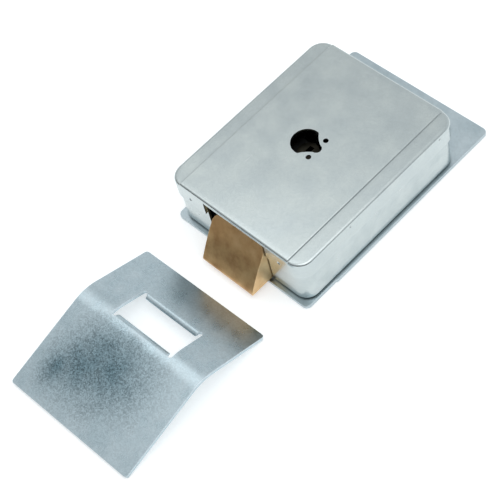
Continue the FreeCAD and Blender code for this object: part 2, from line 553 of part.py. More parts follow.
def make_cover():
    """The pressed lid: a raised panel between two side strips, and a skirt round the wall."""
    body = make_body("case_cover")
    side = "(case_width / 2)"
    outline = draw_box(new_sketch(body, "lid_outline", "XY_Plane", skirt_foot),
                       f"-{side}", side, case_front, case_rear)
    block = swept(body, "Pad", "lid_block", outline, f"{strip_top} - {skirt_foot}")
    corners = rounded(body, "Fillet", "lid_corners", block, upright, "case_corner")
    top = level_at(value_of(strip_top))
    bend = rounded(body, "Fillet", "lid_bend", corners, top, "cover_bend")
    panel = draw_box(new_sketch(body, "panel_outline", "XY_Plane", f"{strip_top} - cover_bend"),
                     f"-{panel_side}", panel_side, case_front, case_rear)
    raised = swept(body, "Pad", "panel_block", panel, "cover_bend + panel_raise")
    height = value_of("case_height")

    def panel_end(start, end, edge):
        return level_at(height)(start, end, edge) and abs(start.y - end.y) < 1e-6
    rounded(body, "Fillet", "panel_ends", raised, panel_end, "cover_bend")
    flanks = new_sketch(body, "panel_flanks", "XZ_Plane", f"-{case_rear}")
    for sign in ("-", ""):
        draw_outline(flanks, [
            (f"{sign}{panel_side}", strip_top), (f"{sign}{panel_side}", "case_height"),
            (f"{sign}({panel_side} - panel_ease)", "case_height")])
    swept(body, "Pocket", "panel_easing", flanks, "case_length", reverse=True)

    lid_side = f"({side} - cover_sheet)"
    lid_front = f"({case_front} + cover_sheet)"
    lid_rear = f"({case_rear} - cover_sheet)"
    lid_corner = "(case_corner - cover_sheet)"
    hollow = draw_outline(new_sketch(body, "lid_inside", "XY_Plane", skirt_foot), [
        (f"-{lid_side} + {lid_corner}", lid_front),
        (f"{lid_side} - {lid_corner}", lid_front, lid_corner),
        (lid_side, f"{lid_front} + {lid_corner}"),
        (lid_side, f"{lid_rear} - {lid_corner}", lid_corner),
        (f"{lid_side} - {lid_corner}", lid_rear),
        (f"-{lid_side} + {lid_corner}", lid_rear, lid_corner),
        (f"-{lid_side}", f"{lid_rear} - {lid_corner}"),
        (f"-{lid_side}", f"{lid_front} + {lid_corner}", lid_corner)])
    swept(body, "Pocket", "lid_hollow", hollow, f"{strip_top} - cover_sheet - {skirt_foot}", reverse=True)
    channel_side = f"({panel_side} - cover_sheet)"
    channel = draw_box(new_sketch(body, "channel_outline", "XY_Plane", skirt_foot),
                       f"-{channel_side}", channel_side, lid_front, lid_rear)
    swept(body, "Pocket", "panel_channel", channel,
          f"case_height - cover_sheet - {skirt_foot}", reverse=True)

    notch = draw_box(new_sketch(body, "notch_outline", "XZ_Plane", f"-{case_front} - 2 * cover_sheet"),
                     f"{window_left} - notch_margin_left", f"{window_right} + notch_margin_right",
                     skirt_foot, f"{strip_top} - cover_bend")
    swept(body, "Pocket", "bolt_notch", notch, "3 * cover_sheet", reverse=True)

    flank = "sqrt(keyhole_radius ^ 2 - keyhole_shoulder ^ 2)"
    shoulder_x = f"({axis_x} + keyhole_shoulder)"
    leg_x = f"({axis_x} + keyhole_leg_reach)"
    keyhole = draw_outline(new_sketch(body, "keyhole_outline", "XY_Plane", skirt_foot), [
        (shoulder_x, f"{axis_y} + {flank}", "keyhole_radius", axis_x),
        (shoulder_x, f"{axis_y} - {flank}"),
        (leg_x, f"{axis_y} - keyhole_leg_radius", "keyhole_leg_radius", leg_x),
        (leg_x, f"{axis_y} + keyhole_leg_radius")])
    swept(body, "Pocket", "cylinder_hole", keyhole, "2 * cover_skirt", reverse=True)
    for name, sign in (("front", "-"), ("rear", "+")):
        hole = draw_circle(new_sketch(body, f"screw_circle_{name}", "XY_Plane", skirt_foot),
                           f"{axis_x} + screw_hole_reach", f"{axis_y} {sign} screw_hole_spread / 2",
                           "screw_hole_radius")
        swept(body, "Pocket", f"screw_hole_{name}", hole, "2 * cover_skirt", reverse=True)

    for name, face, toward_rear in (("front", case_front, True), ("rear", case_rear, False)):
        for hand, sign in (("left", "-"), ("right", "+")):
            dimple = draw_circle(
                new_sketch(body, f"dimple_{name}_{hand}", "XZ_Plane", f"-{face}"),
                f"{sign}dimple_spread / 2", "case_height - dimple_drop_ends", "dimple_radius")
            swept(body, "Pocket", f"staking_{name}_{hand}", dimple, "dimple_depth", reverse=not toward_rear)
    for hand, sign in (("left", "-"), ("right", "")):
        for name, y in (("side_front", f"{case_front} + dimple_from_front"),
                        ("side_rear", f"{case_rear} - dimple_from_rear")):
            dimple = draw_circle(
                new_sketch(body, f"dimple_{name}_{hand}", "YZ_Plane", f"{sign}{side}"),
                y, "case_height - dimple_drop_sides", "dimple_radius_sides")
            swept(body, "Pocket", f"staking_{name}_{hand}", dimple, "dimple_depth", reverse=hand == "left")
    return body


def make_bolt():
    """The cast brass latch bolt, bevelled on the side of the cover."""
    body = make_body("latch_bolt")
    run = "(bolt_reach + bolt_bevel_back)"
    rise = f"({bolt_height} - bolt_nose)"
    chord = f"sqrt({run} ^ 2 + {rise} ^ 2)"
    crown_radius = f"(bolt_crown / 2 + {chord} ^ 2 / (8 * bolt_crown))"
    profile = draw_outline(new_sketch(body, "bolt_profile", "YZ_Plane", bolt_left), [
        (bolt_tip, bolt_under), (bolt_back, bolt_under), (bolt_back, bolt_top),
        (f"{case_front} + bolt_bevel_back", bolt_top, crown_radius),
        (bolt_tip, f"{bolt_under} + bolt_nose")])
    pad = swept(body, "Pad", "bolt_casting", profile, "bolt_width")
    top = value_of(bolt_top)
    under = value_of(bolt_under)

    def long_top_edge(start, end, edge):
        return level_at(top)(start, end, edge) and abs(start.x - end.x) < 1e-6
    upper = rounded(body, "Fillet", "bolt_upper_edges", pad, long_top_edge, "bolt_round")
    tip = value_of(bolt_tip)

    def bevel_side(start, end, edge):
        from_tip = min(start.y, end.y) < tip + 1e-6 and max(start.z, end.z) > under + 1e-6
        return from_tip and abs(start.x - end.x) < 1e-6
    rounded(body, "Fillet", "bolt_bevel_edges", upper, bevel_side, "bolt_edge")
    slot = draw_box(new_sketch(body, "tail_slot_outline", "XZ_Plane", f"-{bolt_back}"),
                    "tail_centre - tail_width / 2 - tail_fit", "tail_centre + tail_width / 2 + tail_fit",
                    bolt_under, tail_top)
    swept(body, "Pocket", "tail_slot", slot, "tail_in_bolt", reverse=True)
    for hand, sign in (("left", "-"), ("right", "+")):
        pocket = draw_circle(new_sketch(body, f"spring_circle_{hand}", "XZ_Plane", f"-{bolt_back}"),
                             f"bolt_centre {sign} spring_spread / 2", spring_line, "spring_pocket_radius")
        swept(body, "Pocket", f"spring_pocket_{hand}", pocket, "spring_pocket_depth", reverse=True)
    return body


def make_bolt_tail():
    """The steel strip under the bolt, with the two studs that draw it back."""
    body = make_body("bolt_tail")
    strip = draw_box(new_sketch(body, "tail_outline", "XY_Plane", bolt_under),
                     "tail_centre - tail_width / 2", "tail_centre + tail_width / 2",
                     f"{bolt_back} - tail_in_bolt", f"{short_stud_y} + tail_end")
    swept(body, "Pad", "tail_strip", strip, "tail_thick")
    for name, y, top in (("long", long_stud_y, "stud_long_top"), ("short", short_stud_y, "stud_short_top")):
        stud = draw_circle(new_sketch(body, f"{name}_stud_circle", "XY_Plane", tail_top),
                           "tail_centre", y, "stud_radius")
        swept(body, "Pad", f"{name}_stud", stud, f"{top} - {tail_top}")
    return body


def make_tail_rivets():
    """Two rivets from the strip up into the casting, flush below."""
    radius = value_of("tail_rivet_radius")
    under = value_of(bolt_under)
    top = value_of(tail_top) + value_of("tail_rivet_depth")
    middle = value_of(f"{bolt_back} - tail_in_bolt / 2")
    half = value_of("tail_rivet_pitch / 2")
    x = value_of("tail_centre")
    section = [(0, under), (radius, under), (radius, top), (0, top)]
    return group("bolt_tail_rivets", [spun(section, x, y) for y in (middle - half, middle + half)])


def make_guide():
    """The bridge that keeps the bolt on the floor and square to the window."""
    body = make_body("bolt_guide")
    left = f"({bolt_left} - guide_gap)"
    right = f"({bolt_right} + guide_gap)"
    under = f"({bolt_top} + guide_gap)"
    foot_top = f"({floor_top} + guide_sheet)"
    section = draw_outline(new_sketch(body, "guide_section", "XZ_Plane", f"-{inner_front} - guide_from"), [
        (left, floor_top), (left, under), (right, under), (right, floor_top),
        (f"{right} + guide_sheet + guide_foot", floor_top),
        (f"{right} + guide_sheet + guide_foot", foot_top),
        (f"{right} + guide_sheet", foot_top), (f"{right} + guide_sheet", f"{under} + guide_sheet"),
        (f"{left} - guide_sheet", f"{under} + guide_sheet"), (f"{left} - guide_sheet", foot_top),
        (f"{left} - guide_sheet - guide_foot", foot_top),
        (f"{left} - guide_sheet - guide_foot", floor_top)])
    pad = swept(body, "Pad", "guide_bridge", section, "guide_length", reverse=True)
    roof = value_of(f"{under} + guide_sheet")

    def roof_edge(start, end, edge):
        return level_at(roof)(start, end, edge) and abs(start.x - end.x) < 1e-6
    rounded(body, "Fillet", "guide_bends", pad, roof_edge, "guide_sheet")
    return body


def make_bracket():
    """The plate behind the bolt that backs the springs, with a shelf for the follower."""
    body = make_body("mechanism_bracket")
    plate = draw_box(new_sketch(body, "bracket_outline", "XZ_Plane", f"-{bracket_back}"),
                     "-bracket_left", "bracket_right", floor_top, bracket_top)
    swept(body, "Pad", "bracket_plate", plate, "bracket_sheet")
    shelf = draw_box(new_sketch(body, "shelf_outline", "XY_Plane", f"{bracket_top} - bracket_sheet"),
                     "-shelf_left", "shelf_right", bracket_front, f"{bracket_front} + shelf_depth")
    swept(body, "Pad", "bearing_shelf", shelf, "bracket_sheet")
    for name, near, far in (("left", "-bracket_left", "-bracket_left + bracket_foot"),
                            ("right", "bracket_right - bracket_foot", "bracket_right")):
        foot = draw_box(new_sketch(body, f"foot_outline_{name}", "XY_Plane", floor_top),
                        near, far, bracket_front, f"{bracket_back} + bracket_foot")
        swept(body, "Pad", f"bracket_foot_{name}", foot, "bracket_sheet")
    notch = draw_box(new_sketch(body, "tail_notch_outline", "XZ_Plane", f"-{bracket_back}"),
                     "tail_centre - tail_width / 2 - tail_notch_gap",
                     "tail_centre + tail_width / 2 + tail_notch_gap",
                     floor_top, f"{tail_top} + tail_notch_gap")
    swept(body, "Pocket", "tail_notch", notch, "bracket_sheet", reverse=True)
    for hand, sign in (("left", "-"), ("right", "+")):
        hole = draw_circle(new_sketch(body, f"rod_circle_{hand}", "XZ_Plane", f"-{bracket_back}"),
                           f"bolt_centre {sign} spring_spread / 2", spring_line,
                           "rod_radius + running_fit / 2")
        swept(body, "Pocket", f"rod_hole_{hand}", hole, "bracket_sheet", reverse=True)
    bearing = draw_circle(new_sketch(body, "bearing_circle", "XY_Plane", bracket_top),
                          axis_x, axis_y, "journal_radius + running_fit")
    swept(body, "Pocket", "follower_bearing", bearing, "bracket_sheet")
    return body


def make_rods():
    """The two rods inside the springs, riveted into the bracket."""
    radius = value_of("rod_radius")
    start = value_of(f"{bracket_front} - {rod_reach}")
    end = value_of(bracket_back)
    chamfer = value_of("rod_chamfer")
    section = [(0, 0), (radius - chamfer, 0), (radius, chamfer), (radius, end - start), (0, end - start)]
    return group("spring_guide_rods", [
        spun(section, x, start, value_of(spring_line), Vector(0, 1, 0)) for x in spring_lines()])


def spring_lines():
    half = value_of("spring_spread / 2")
    return [value_of("bolt_centre") - half, value_of("bolt_centre") + half]


def arc_through_corner(enter, corner, leave):
    """The arc that is tangent to both legs of a corner, which are equally long."""
    inward = (enter - corner).normalize()
    onward = (leave - corner).normalize()
    half_turn = (math.pi - inward.getAngle(onward)) / 2
    leg = enter.distanceToPoint(corner)
    radius = leg / math.tan(half_turn)
    middle = corner + (inward + onward).normalize() * (radius / math.cos(half_turn) - radius)
    return Part.Arc(enter, middle, leave)


def biarc(start, start_way, end, end_way):
    """Two arcs from point to point that leave and arrive along the given directions."""
    chord = end - start
    both = start_way + end_way
    spread = 2 * (1 - start_way.dot(end_way))
    along = chord.dot(both)
    leg = (math.sqrt(along ** 2 + spread * chord.dot(chord)) - along) / spread
    first = start + start_way * leg
    second = end - end_way * leg
    joint = (first + second) * 0.5
    return [arc_through_corner(start, first, joint), arc_through_corner(joint, second, end)]


def coil_arcs(radius, turns, length, end_pitch):
    """The centre line of a compression spring along Z, with one close turn at each end."""
    steps = round(turns * TURN_STEPS)
    open_pitch = (length - 2 * end_pitch) / (turns - 2)

    def rise(step):
        turn = step / TURN_STEPS
        if turn <= 1:
            return end_pitch * turn
        if turn >= turns - 1:
            return length - end_pitch * (turns - turn)
        return end_pitch + open_pitch * (turn - 1)
    nodes = []
    for step in range(steps + 1):
        angle = 2 * math.pi * step / TURN_STEPS
        before = max(step - 1, 0)
        after = min(step + 1, steps)
        climb = (rise(after) - rise(before)) / ((after - before) * 2 * math.pi / TURN_STEPS)
        way = Vector(-radius * math.sin(angle), radius * math.cos(angle), climb).normalize()
        nodes.append((Vector(radius * math.cos(angle), radius * math.sin(angle), rise(step)), way))
    return [arc for (start, start_way), (end, end_way) in zip(nodes, nodes[1:])
            for arc in biarc(start, start_way, end, end_way)]


def least_gap(arcs, wire_radius, turn_arcs):
    """The smallest space between one turn of a coil and the others, measured on points."""
    points = [(index, arc.value(arc.FirstParameter + share * (arc.LastParameter - arc.FirstParameter)))
              for index, arc in enumerate(arcs) for share in (0, 0.25, 0.5, 0.75)]
    return min(first.distanceToPoint(second)
               for place, (index, first) in enumerate(points)
               for other, second in points[place:] if other - index >= turn_arcs / 2) - 2 * wire_radius


def make_spring(label, x):
    """One compression spring, from the floor of its pocket in the bolt to the bracket."""
    wire = value_of("spring_wire / 2")
    start = value_of(f"{bolt_back} - spring_pocket_depth + spring_seat_gap") + wire
    end = value_of(f"{bracket_front} - spring_seat_gap") - wire
    arcs = coil_arcs(value_of("spring_mean_radius"), value_of("spring_turns"), end - start,
                     value_of("spring_end_pitch"))
    path = Part.Wire([arc.toShape() for arc in arcs])
    first = arcs[0]
    section = Part.Wire(Part.makeCircle(
        wire, first.value(first.FirstParameter), first.tangent(first.FirstParameter)[0]))
    solid = path.makePipeShell([section], True)
    solid.Placement = FreeCAD.Placement(
        Vector(x, start, value_of(spring_line)), FreeCAD.Rotation(Vector(0, 0, 1), Vector(0, 1, 0)))
    print(f"{label}: least gap between turns {least_gap(arcs, wire, 2 * TURN_STEPS):.2f} mm")
    return group(label, [solid])


def make_bush():
    """The flanged bush that the follower's lower journal turns in."""
    bore = value_of("bush_bore")
    spigot = value_of("bush_spigot")
    under = value_of("plate_thick")
    flange_top = floor_height + value_of("bush_flange_thick")
    return group("follower_bush", [spun([
        (bore, under), (spigot, under), (spigot, floor_height), (value_of("bush_flange"), floor_height),
        (value_of("bush_flange"), flange_top), (spigot, flange_top),
        (spigot, value_of("bush_top")), (bore, value_of("bush_top"))],
        value_of(axis_x), value_of(axis_y))])


def make_follower():
    """The brass hub that the key cylinder turns, with the forked arm that draws the bolt back."""
    x = value_of(axis_x)
    y = value_of(axis_y)
    base = value_of("bush_top + axial_fit")
    shaft = value_of("bush_bore - running_fit")
    hub_top = value_of(f"{bracket_top} - bracket_sheet - hub_top_room")
    journal_top = value_of(f"{bracket_top} + journal_stand")
    hub = value_of("hub_radius")
    journal = value_of("journal_radius")
    turned = spun([(0, value_of("plate_thick")), (shaft, value_of("plate_thick")), (shaft, base),
                   (hub, base), (hub, hub_top), (journal, hub_top), (journal, journal_top),
                   (0, journal_top)], x, y)
    half = value_of("arm_width / 2")
    reach = value_of("arm_reach")
    arm_low = value_of("arm_base")
    arm = Part.makeBox(reach, 2 * half, value_of("arm_thick"), Vector(x, y - half, arm_low))
    near = value_of(f"{stud_arm} - stud_radius - lever_slot_play / 2")
    room = value_of("stud_radius + stud_fit")
    fork = Part.makeBox(reach, 2 * room, value_of("arm_thick"), Vector(x + near + room, y - room, arm_low))
    fork = fork.fuse(Part.makeCylinder(room, value_of("arm_thick"), Vector(x + near + room, y, arm_low)))
    arm = arm.cut(fork)
    rest_angle = -math.degrees(math.atan(value_of(f"{bolt_travel} / 2") / value_of(stud_arm)))
    arm.rotate(Vector(x, y, 0), Vector(0, 0, 1), rest_angle)
    slot = Part.makeBox(value_of("slot_width"), value_of("slot_length"), journal_top,
                        Vector(x - value_of("slot_width / 2"), y - value_of("slot_length / 2"), 0))
    return group("key_follower", [turned.fuse(arm).cut(slot).removeSplitter()])


def make_lever():
    """The lever between plunger and bolt, slotted for the bolt stud and the cross pin."""
    x = value_of(pivot_x)
    y = value_of(pivot_y)
    base = value_of("lever_base")
    thick = value_of("lever_thick")
    up = Vector(0, 0, 1)
    bore = value_of("pivot_radius + running_fit")
    boss = value_of("lever_boss")
    half = value_of("lever_width / 2")
    arm = value_of(lever_arm)
    long_end = arm + value_of("lever_past_stud")
    lever = Part.makeCylinder(boss, thick, Vector(x, y, base), up)
    bar = Part.makeBox(long_end - half, 2 * half, thick, Vector(x - long_end + half, y - half, base))
    slim = x - value_of("lever_taper")
    taper = Part.makePolygon([
        Vector(x, y - boss, base), Vector(slim, y - half, base), Vector(slim, y + half, base),
        Vector(x, y + boss, base), Vector(x, y - boss, base)])
    bar = bar.common(Part.makeBox(long_end + slim - x, 2 * half, thick,
                                  Vector(x - long_end, y - half, base)))
    lever = lever.fuse(bar).fuse(Part.Face(taper).extrude(Vector(0, 0, thick)))
    lever = lever.fuse(Part.makeCylinder(half, thick, Vector(x - long_end + half, y, base), up))
    play = value_of("lever_slot_play")
    for distance, radius in ((arm, value_of("stud_radius")),
                             (value_of("plunger_arm"), value_of("cross_pin_radius"))):
        room = radius + value_of("stud_fit")
        spread = distance / math.cos(math.atan(value_of(f"{bolt_travel} / 2") / arm)) - distance
        low = x - distance - spread - play / 2
        high = x - distance + play / 2
        slot = Part.makeBox(high - low, 2 * room, thick, Vector(low, y - room, base))
        slot = slot.fuse(Part.makeCylinder(room, thick, Vector(low, y, base), up))
        lever = lever.cut(slot.fuse(Part.makeCylinder(room, thick, Vector(high, y, base), up)))
    lever = lever.cut(Part.makeCylinder(bore, thick, Vector(x, y, base), up))
    rest_angle = math.degrees(math.atan(value_of(f"{bolt_travel} / 2") / arm))
    lever = lever.removeSplitter()
    lever.rotate(Vector(x, y, 0), up, rest_angle)
    return group("retractor_lever", [lever])


def make_pivot():
    """The shouldered pin that the lever turns on, and its retaining clip."""
    x = value_of(pivot_x)
    y = value_of(pivot_y)
    pin = value_of("pivot_radius")
    shoulder = value_of("pivot_shoulder")
    base = value_of("lever_base - axial_fit")
    top = value_of("pivot_top")
    chamfer = value_of("pin_chamfer")
    pivot = group("lever_pivot_pin", [spun([
        (0, floor_height), (shoulder, floor_height), (shoulder, base), (pin, base),
        (pin, top - chamfer), (pin - chamfer, top), (0, top)], x, y)])
    clip_base = value_of("lever_base + lever_thick + axial_fit")
    clip_top = clip_base + value_of("clip_thick")
    outer = value_of("clip_radius")
    inner = pin + value_of("running_fit / 2")
    clip = spun([(inner, clip_base), (outer, clip_base), (outer, clip_top), (inner, clip_top)], x, y)
    gap = Part.makeBox(outer, pin, top, Vector(x, y - pin / 2, 0))
    return pivot, group("lever_clip", [clip.cut(gap)])


def make_plunger():
    """The soft iron plunger with its flattened, drilled front end, and the cross pin in it."""
    body = make_body("solenoid_plunger")
    rod = draw_circle(new_sketch(body, "plunger_circle", "XZ_Plane", f"-{plunger_end}"),
                      plunger_x, plunger_line, "plunger_radius")
    swept(body, "Pad", "plunger_rod", rod, plunger_length)
    for name, low, high in (
            ("under", f"{plunger_line} - plunger_radius", f"{plunger_line} - tongue_thick / 2"),
            ("over", f"{plunger_line} + tongue_thick / 2", f"{plunger_line} + plunger_radius")):
        flat = draw_box(new_sketch(body, f"flat_{name}", "XZ_Plane", f"-{plunger_front}"),
                        f"{plunger_x} - plunger_radius", f"{plunger_x} + plunger_radius", low, high)
        swept(body, "Pocket", f"tongue_{name}", flat, "tongue_length")
    hole = draw_circle(new_sketch(body, "cross_circle", "XY_Plane", f"{plunger_line} + plunger_radius"),
                       plunger_x, cross_pin_y, "cross_pin_radius + running_fit / 2")
    swept(body, "Pocket", "cross_hole", hole, "2 * plunger_radius")
    radius = value_of("cross_pin_radius")
    low = value_of("lever_base - cross_pin_below")
    high = value_of(f"{plunger_line} + tongue_thick / 2 + cross_pin_proud")
    chamfer = value_of("pin_chamfer")
    pin = spun([(0, low), (radius - chamfer, low), (radius, low + chamfer), (radius, high - chamfer),
                (radius - chamfer, high), (0, high)], value_of(plunger_x), value_of(cross_pin_y))
    return body, group("plunger_cross_pin", [pin])


def make_yoke():
    """The U-shaped iron frame round the coil."""
    body = make_body("solenoid_yoke")
    section = draw_outline(new_sketch(body, "yoke_section", "YZ_Plane", yoke_left), [
        (yoke_y, floor_top), (yoke_end, floor_top), (yoke_end, yoke_top),
        (f"{yoke_end} - yoke_sheet", yoke_top), (f"{yoke_end} - yoke_sheet", yoke_base),
        (f"{yoke_y} + yoke_sheet", yoke_base), (f"{yoke_y} + yoke_sheet", yoke_top),
        (yoke_y, yoke_top)])
    pad = swept(body, "Pad", "yoke_frame", section, "yoke_width")
    foot = value_of(floor_top)

    def outer_bend(start, end, edge):
        return level_at(foot)(start, end, edge) and abs(start.y - end.y) < 1e-6
    rounded(body, "Fillet", "yoke_bends", pad, outer_bend, "yoke_sheet / 2")
    entry = draw_circle(new_sketch(body, "plunger_entry", "XZ_Plane", f"-{yoke_y}"),
                        plunger_x, plunger_line, "plunger_radius + plunger_fit")
    swept(body, "Pocket", "plunger_way", entry, "yoke_sheet")
    seat = draw_circle(new_sketch(body, "core_seat", "XZ_Plane", f"-{yoke_end}"),
                       plunger_x, plunger_line, "core_shank + running_fit / 2")
    swept(body, "Pocket", "core_hole", seat, "yoke_sheet", reverse=True)
    return body


def make_coil():
    """Bobbin, winding and fixed core, all on the plunger's axis."""
    x = value_of(plunger_x)
    z = value_of(plunger_line)
    front = value_of(f"{yoke_y} + yoke_sheet")
    rear = value_of(f"{yoke_end} - yoke_sheet")
    length = rear - front
    along = Vector(0, 1, 0)
    bore = value_of("plunger_radius + plunger_fit")
    tube = bore + value_of("bobbin_wall")
    flange = value_of("bobbin_flange")
    half = value_of(bobbin_half)
    start = Vector(x, front, z)
    bobbin = Part.makeCylinder(tube, length, start, along)
    for y in (front, rear - flange):
        cheek = Part.makeBox(2 * half, flange, 2 * half, Vector(x - half, y, z - half))
        corner_edges = [edge for edge in cheek.Edges
                        if abs(edge.Vertexes[0].Point.y - edge.Vertexes[1].Point.y) > flange / 2]
        bobbin = bobbin.fuse(cheek.makeFillet(value_of("bobbin_corner"), corner_edges))
    bobbin = bobbin.cut(Part.makeCylinder(bore, length, start, along)).removeSplitter()
    wound = half - value_of("winding_below")
    winding = spun([(tube, flange), (wound, flange), (wound, length - flange), (tube, length - flange)],
                   x, front, z, along)
    shank = value_of("core_shank")
    core_radius = value_of("plunger_radius")
    tip = value_of(core_front)
    core = spun([(0, tip), (core_radius, tip), (core_radius, rear),
                 (shank, rear), (shank, rear + value_of("yoke_sheet")),
                 (0, rear + value_of("yoke_sheet"))], x, 0, z, along)
    return (group("coil_bobbin", [bobbin]), group("coil_winding", [winding]),
            group("solenoid_core", [core]))


def make_terminals():
    """The two-way terminal block, its clamping screws and the screw that holds it."""
    left = value_of(block_x)
    y = value_of(block_y)
    width = value_of("block_width")
    length = value_of("block_length")
    height = value_of("block_height")
    shoulder = value_of("block_shoulder")
    top = floor_height + height
    line = floor_height + value_of("terminal_line")
    middle_x = left + width / 2
    middle_y = y + length / 2
    mouth = value_of("terminal_mouth")
    screw = value_of("terminal_screw")
    well = screw + value_of("terminal_screw_room")
    slot = value_of("driver_slot")
    screw_top = top - value_of("terminal_screw_sunk")
    screw_foot = line + value_of("lead_radius + running_fit")
    block = Part.makeBox(width, length, height, Vector(left, y, floor_height))
    for x in (left, left + width - shoulder):
        block = block.cut(Part.makeBox(shoulder, length, shoulder, Vector(x, y, top - shoulder)))
    screws = []
    for centre in terminal_lines():
        block = block.cut(Part.makeCylinder(well, top - line, Vector(middle_x, centre, line)))
        block = block.cut(Part.makeCylinder(mouth, width, Vector(left, centre, line), Vector(1, 0, 0)))
        head = Part.makeCylinder(screw, screw_top - screw_foot, Vector(middle_x, centre, screw_foot))
        groove = Part.makeBox(2 * screw, slot, slot, Vector(
            middle_x - screw, centre - slot / 2, screw_top - slot))
        screws.append(head.cut(groove))
    shank = value_of("block_screw_radius")
    head = value_of("block_screw_head")
    face = value_of("block_screw_face")
    crown = value_of("block_screw_crown")
    bore = shank + value_of("running_fit")
    block = block.cut(Part.makeCylinder(bore, height, Vector(middle_x, middle_y, floor_height)))
    holder = spun([(0, floor_height), (shank, floor_height), (shank, top), (head, top),
                   (face, top + crown), (0, top + crown)], middle_x, middle_y)
    holder = holder.cut(Part.makeBox(2 * head, slot, slot, Vector(
        middle_x - head, middle_y - slot / 2, top + crown - slot)))
    return (group("terminal_block", [block]), group("terminal_screws", screws),
            group("terminal_block_screw", [holder]))


def terminal_lines():
    middle = value_of(f"{block_y} + block_length / 2")
    half = value_of("terminal_pitch / 2")
    return [middle - half, middle + half]


def make_leads():
    """The two leads from the bobbin into the terminal block."""
    radius = value_of("lead_radius")
    run = value_of("lead_run")
    past = value_of("lead_past_screw")
    start_x = value_of(f"{plunger_x} - {bobbin_half}")
    start_y = value_of(f"{yoke_y} + yoke_sheet + bobbin_flange / 2")
    middle_x = value_of(f"{block_x} + block_width / 2")
    face_x = value_of(f"{block_x} + block_width")
    height = floor_height + value_of("terminal_line")
    leads = []
    for step, centre in enumerate(terminal_lines()):
        rise = value_of("lead_line") + step * value_of("lead_pitch")
        start = Vector(start_x, start_y, rise)
        end = Vector(middle_x - past, centre, height)
        points = [start, start + Vector(-run, 0, 0), Vector(face_x + run, centre, height), end]
        leads.append(bent_tube(points, radius))
    return group("coil_leads", leads)


def bent_tube(points, radius):
    """A round tube on straight runs joined by tangent arcs."""
    edges = []
    last = points[0]
    for before, corner, after in zip(points, points[1:], points[2:]):
        inward = (before - corner).normalize()
        onward = (after - corner).normalize()
        leg = BEND_SHARE * min(before.distanceToPoint(corner), after.distanceToPoint(corner))
        enter = corner + inward * leg
        leave = corner + onward * leg
        bend = arc_through_corner(enter, corner, leave)
        edges.append(Part.LineSegment(last, enter).toShape())
        edges.append(bend.toShape())
        last = leave
        print(f"coil lead: bend radius {bend.toShape().Curve.Radius:.1f} mm")
    edges.append(Part.LineSegment(last, points[-1]).toShape())
    path = Part.Wire(edges)
    section = Part.Wire(Part.makeCircle(radius, points[0], points[1] - points[0]))
    tube = path.makePipeShell([section], True, False)
    expected = math.pi * radius ** 2 * path.Length
    if abs(tube.Volume - expected) > 0.02 * expected:
        raise RuntimeError("a coil lead has the wrong volume")
    return tube


def make_grommet():
    """The rubber grommet in the rear wall, with a groove that grips the sheet."""
    bore = value_of("grommet_bore")
    neck = value_of("inlet_radius - running_fit / 2")
    lip = value_of("grommet_lip")
    thick = value_of("grommet_lip_thick")
    sheet_thick = value_of("wall_sheet")
    chamfer = value_of("grommet_chamfer")
    return group("cable_grommet", [spun([
        (bore, -thick), (lip - chamfer, -thick), (lip, -thick + chamfer), (lip, 0), (neck, 0),
        (neck, sheet_thick), (lip, sheet_thick), (lip, sheet_thick + thick - chamfer),
        (lip - chamfer, sheet_thick + thick), (bore, sheet_thick + thick)],
        value_of("-inlet_left"), value_of(inner_rear), value_of(inlet_line), Vector(0, 1, 0))])


def drilled(feature, cutters, label):
    """The named sub-part: the feature's body with the rivet holes through it."""
    feature.Label = label + "_blank"
    piece = doc.addObject("Part::Feature", label)
    piece.Label = label
    piece.Shape = feature.Shape.cut(Part.makeCompound(cutters)).removeSplitter()
    return piece


def strike_drop(reach):
    """The strike plate's sheet measured upright, on the slope of that reach."""
    return f"(strike_sheet / cos(atan((strike_height - strike_sheet) / {reach})))"


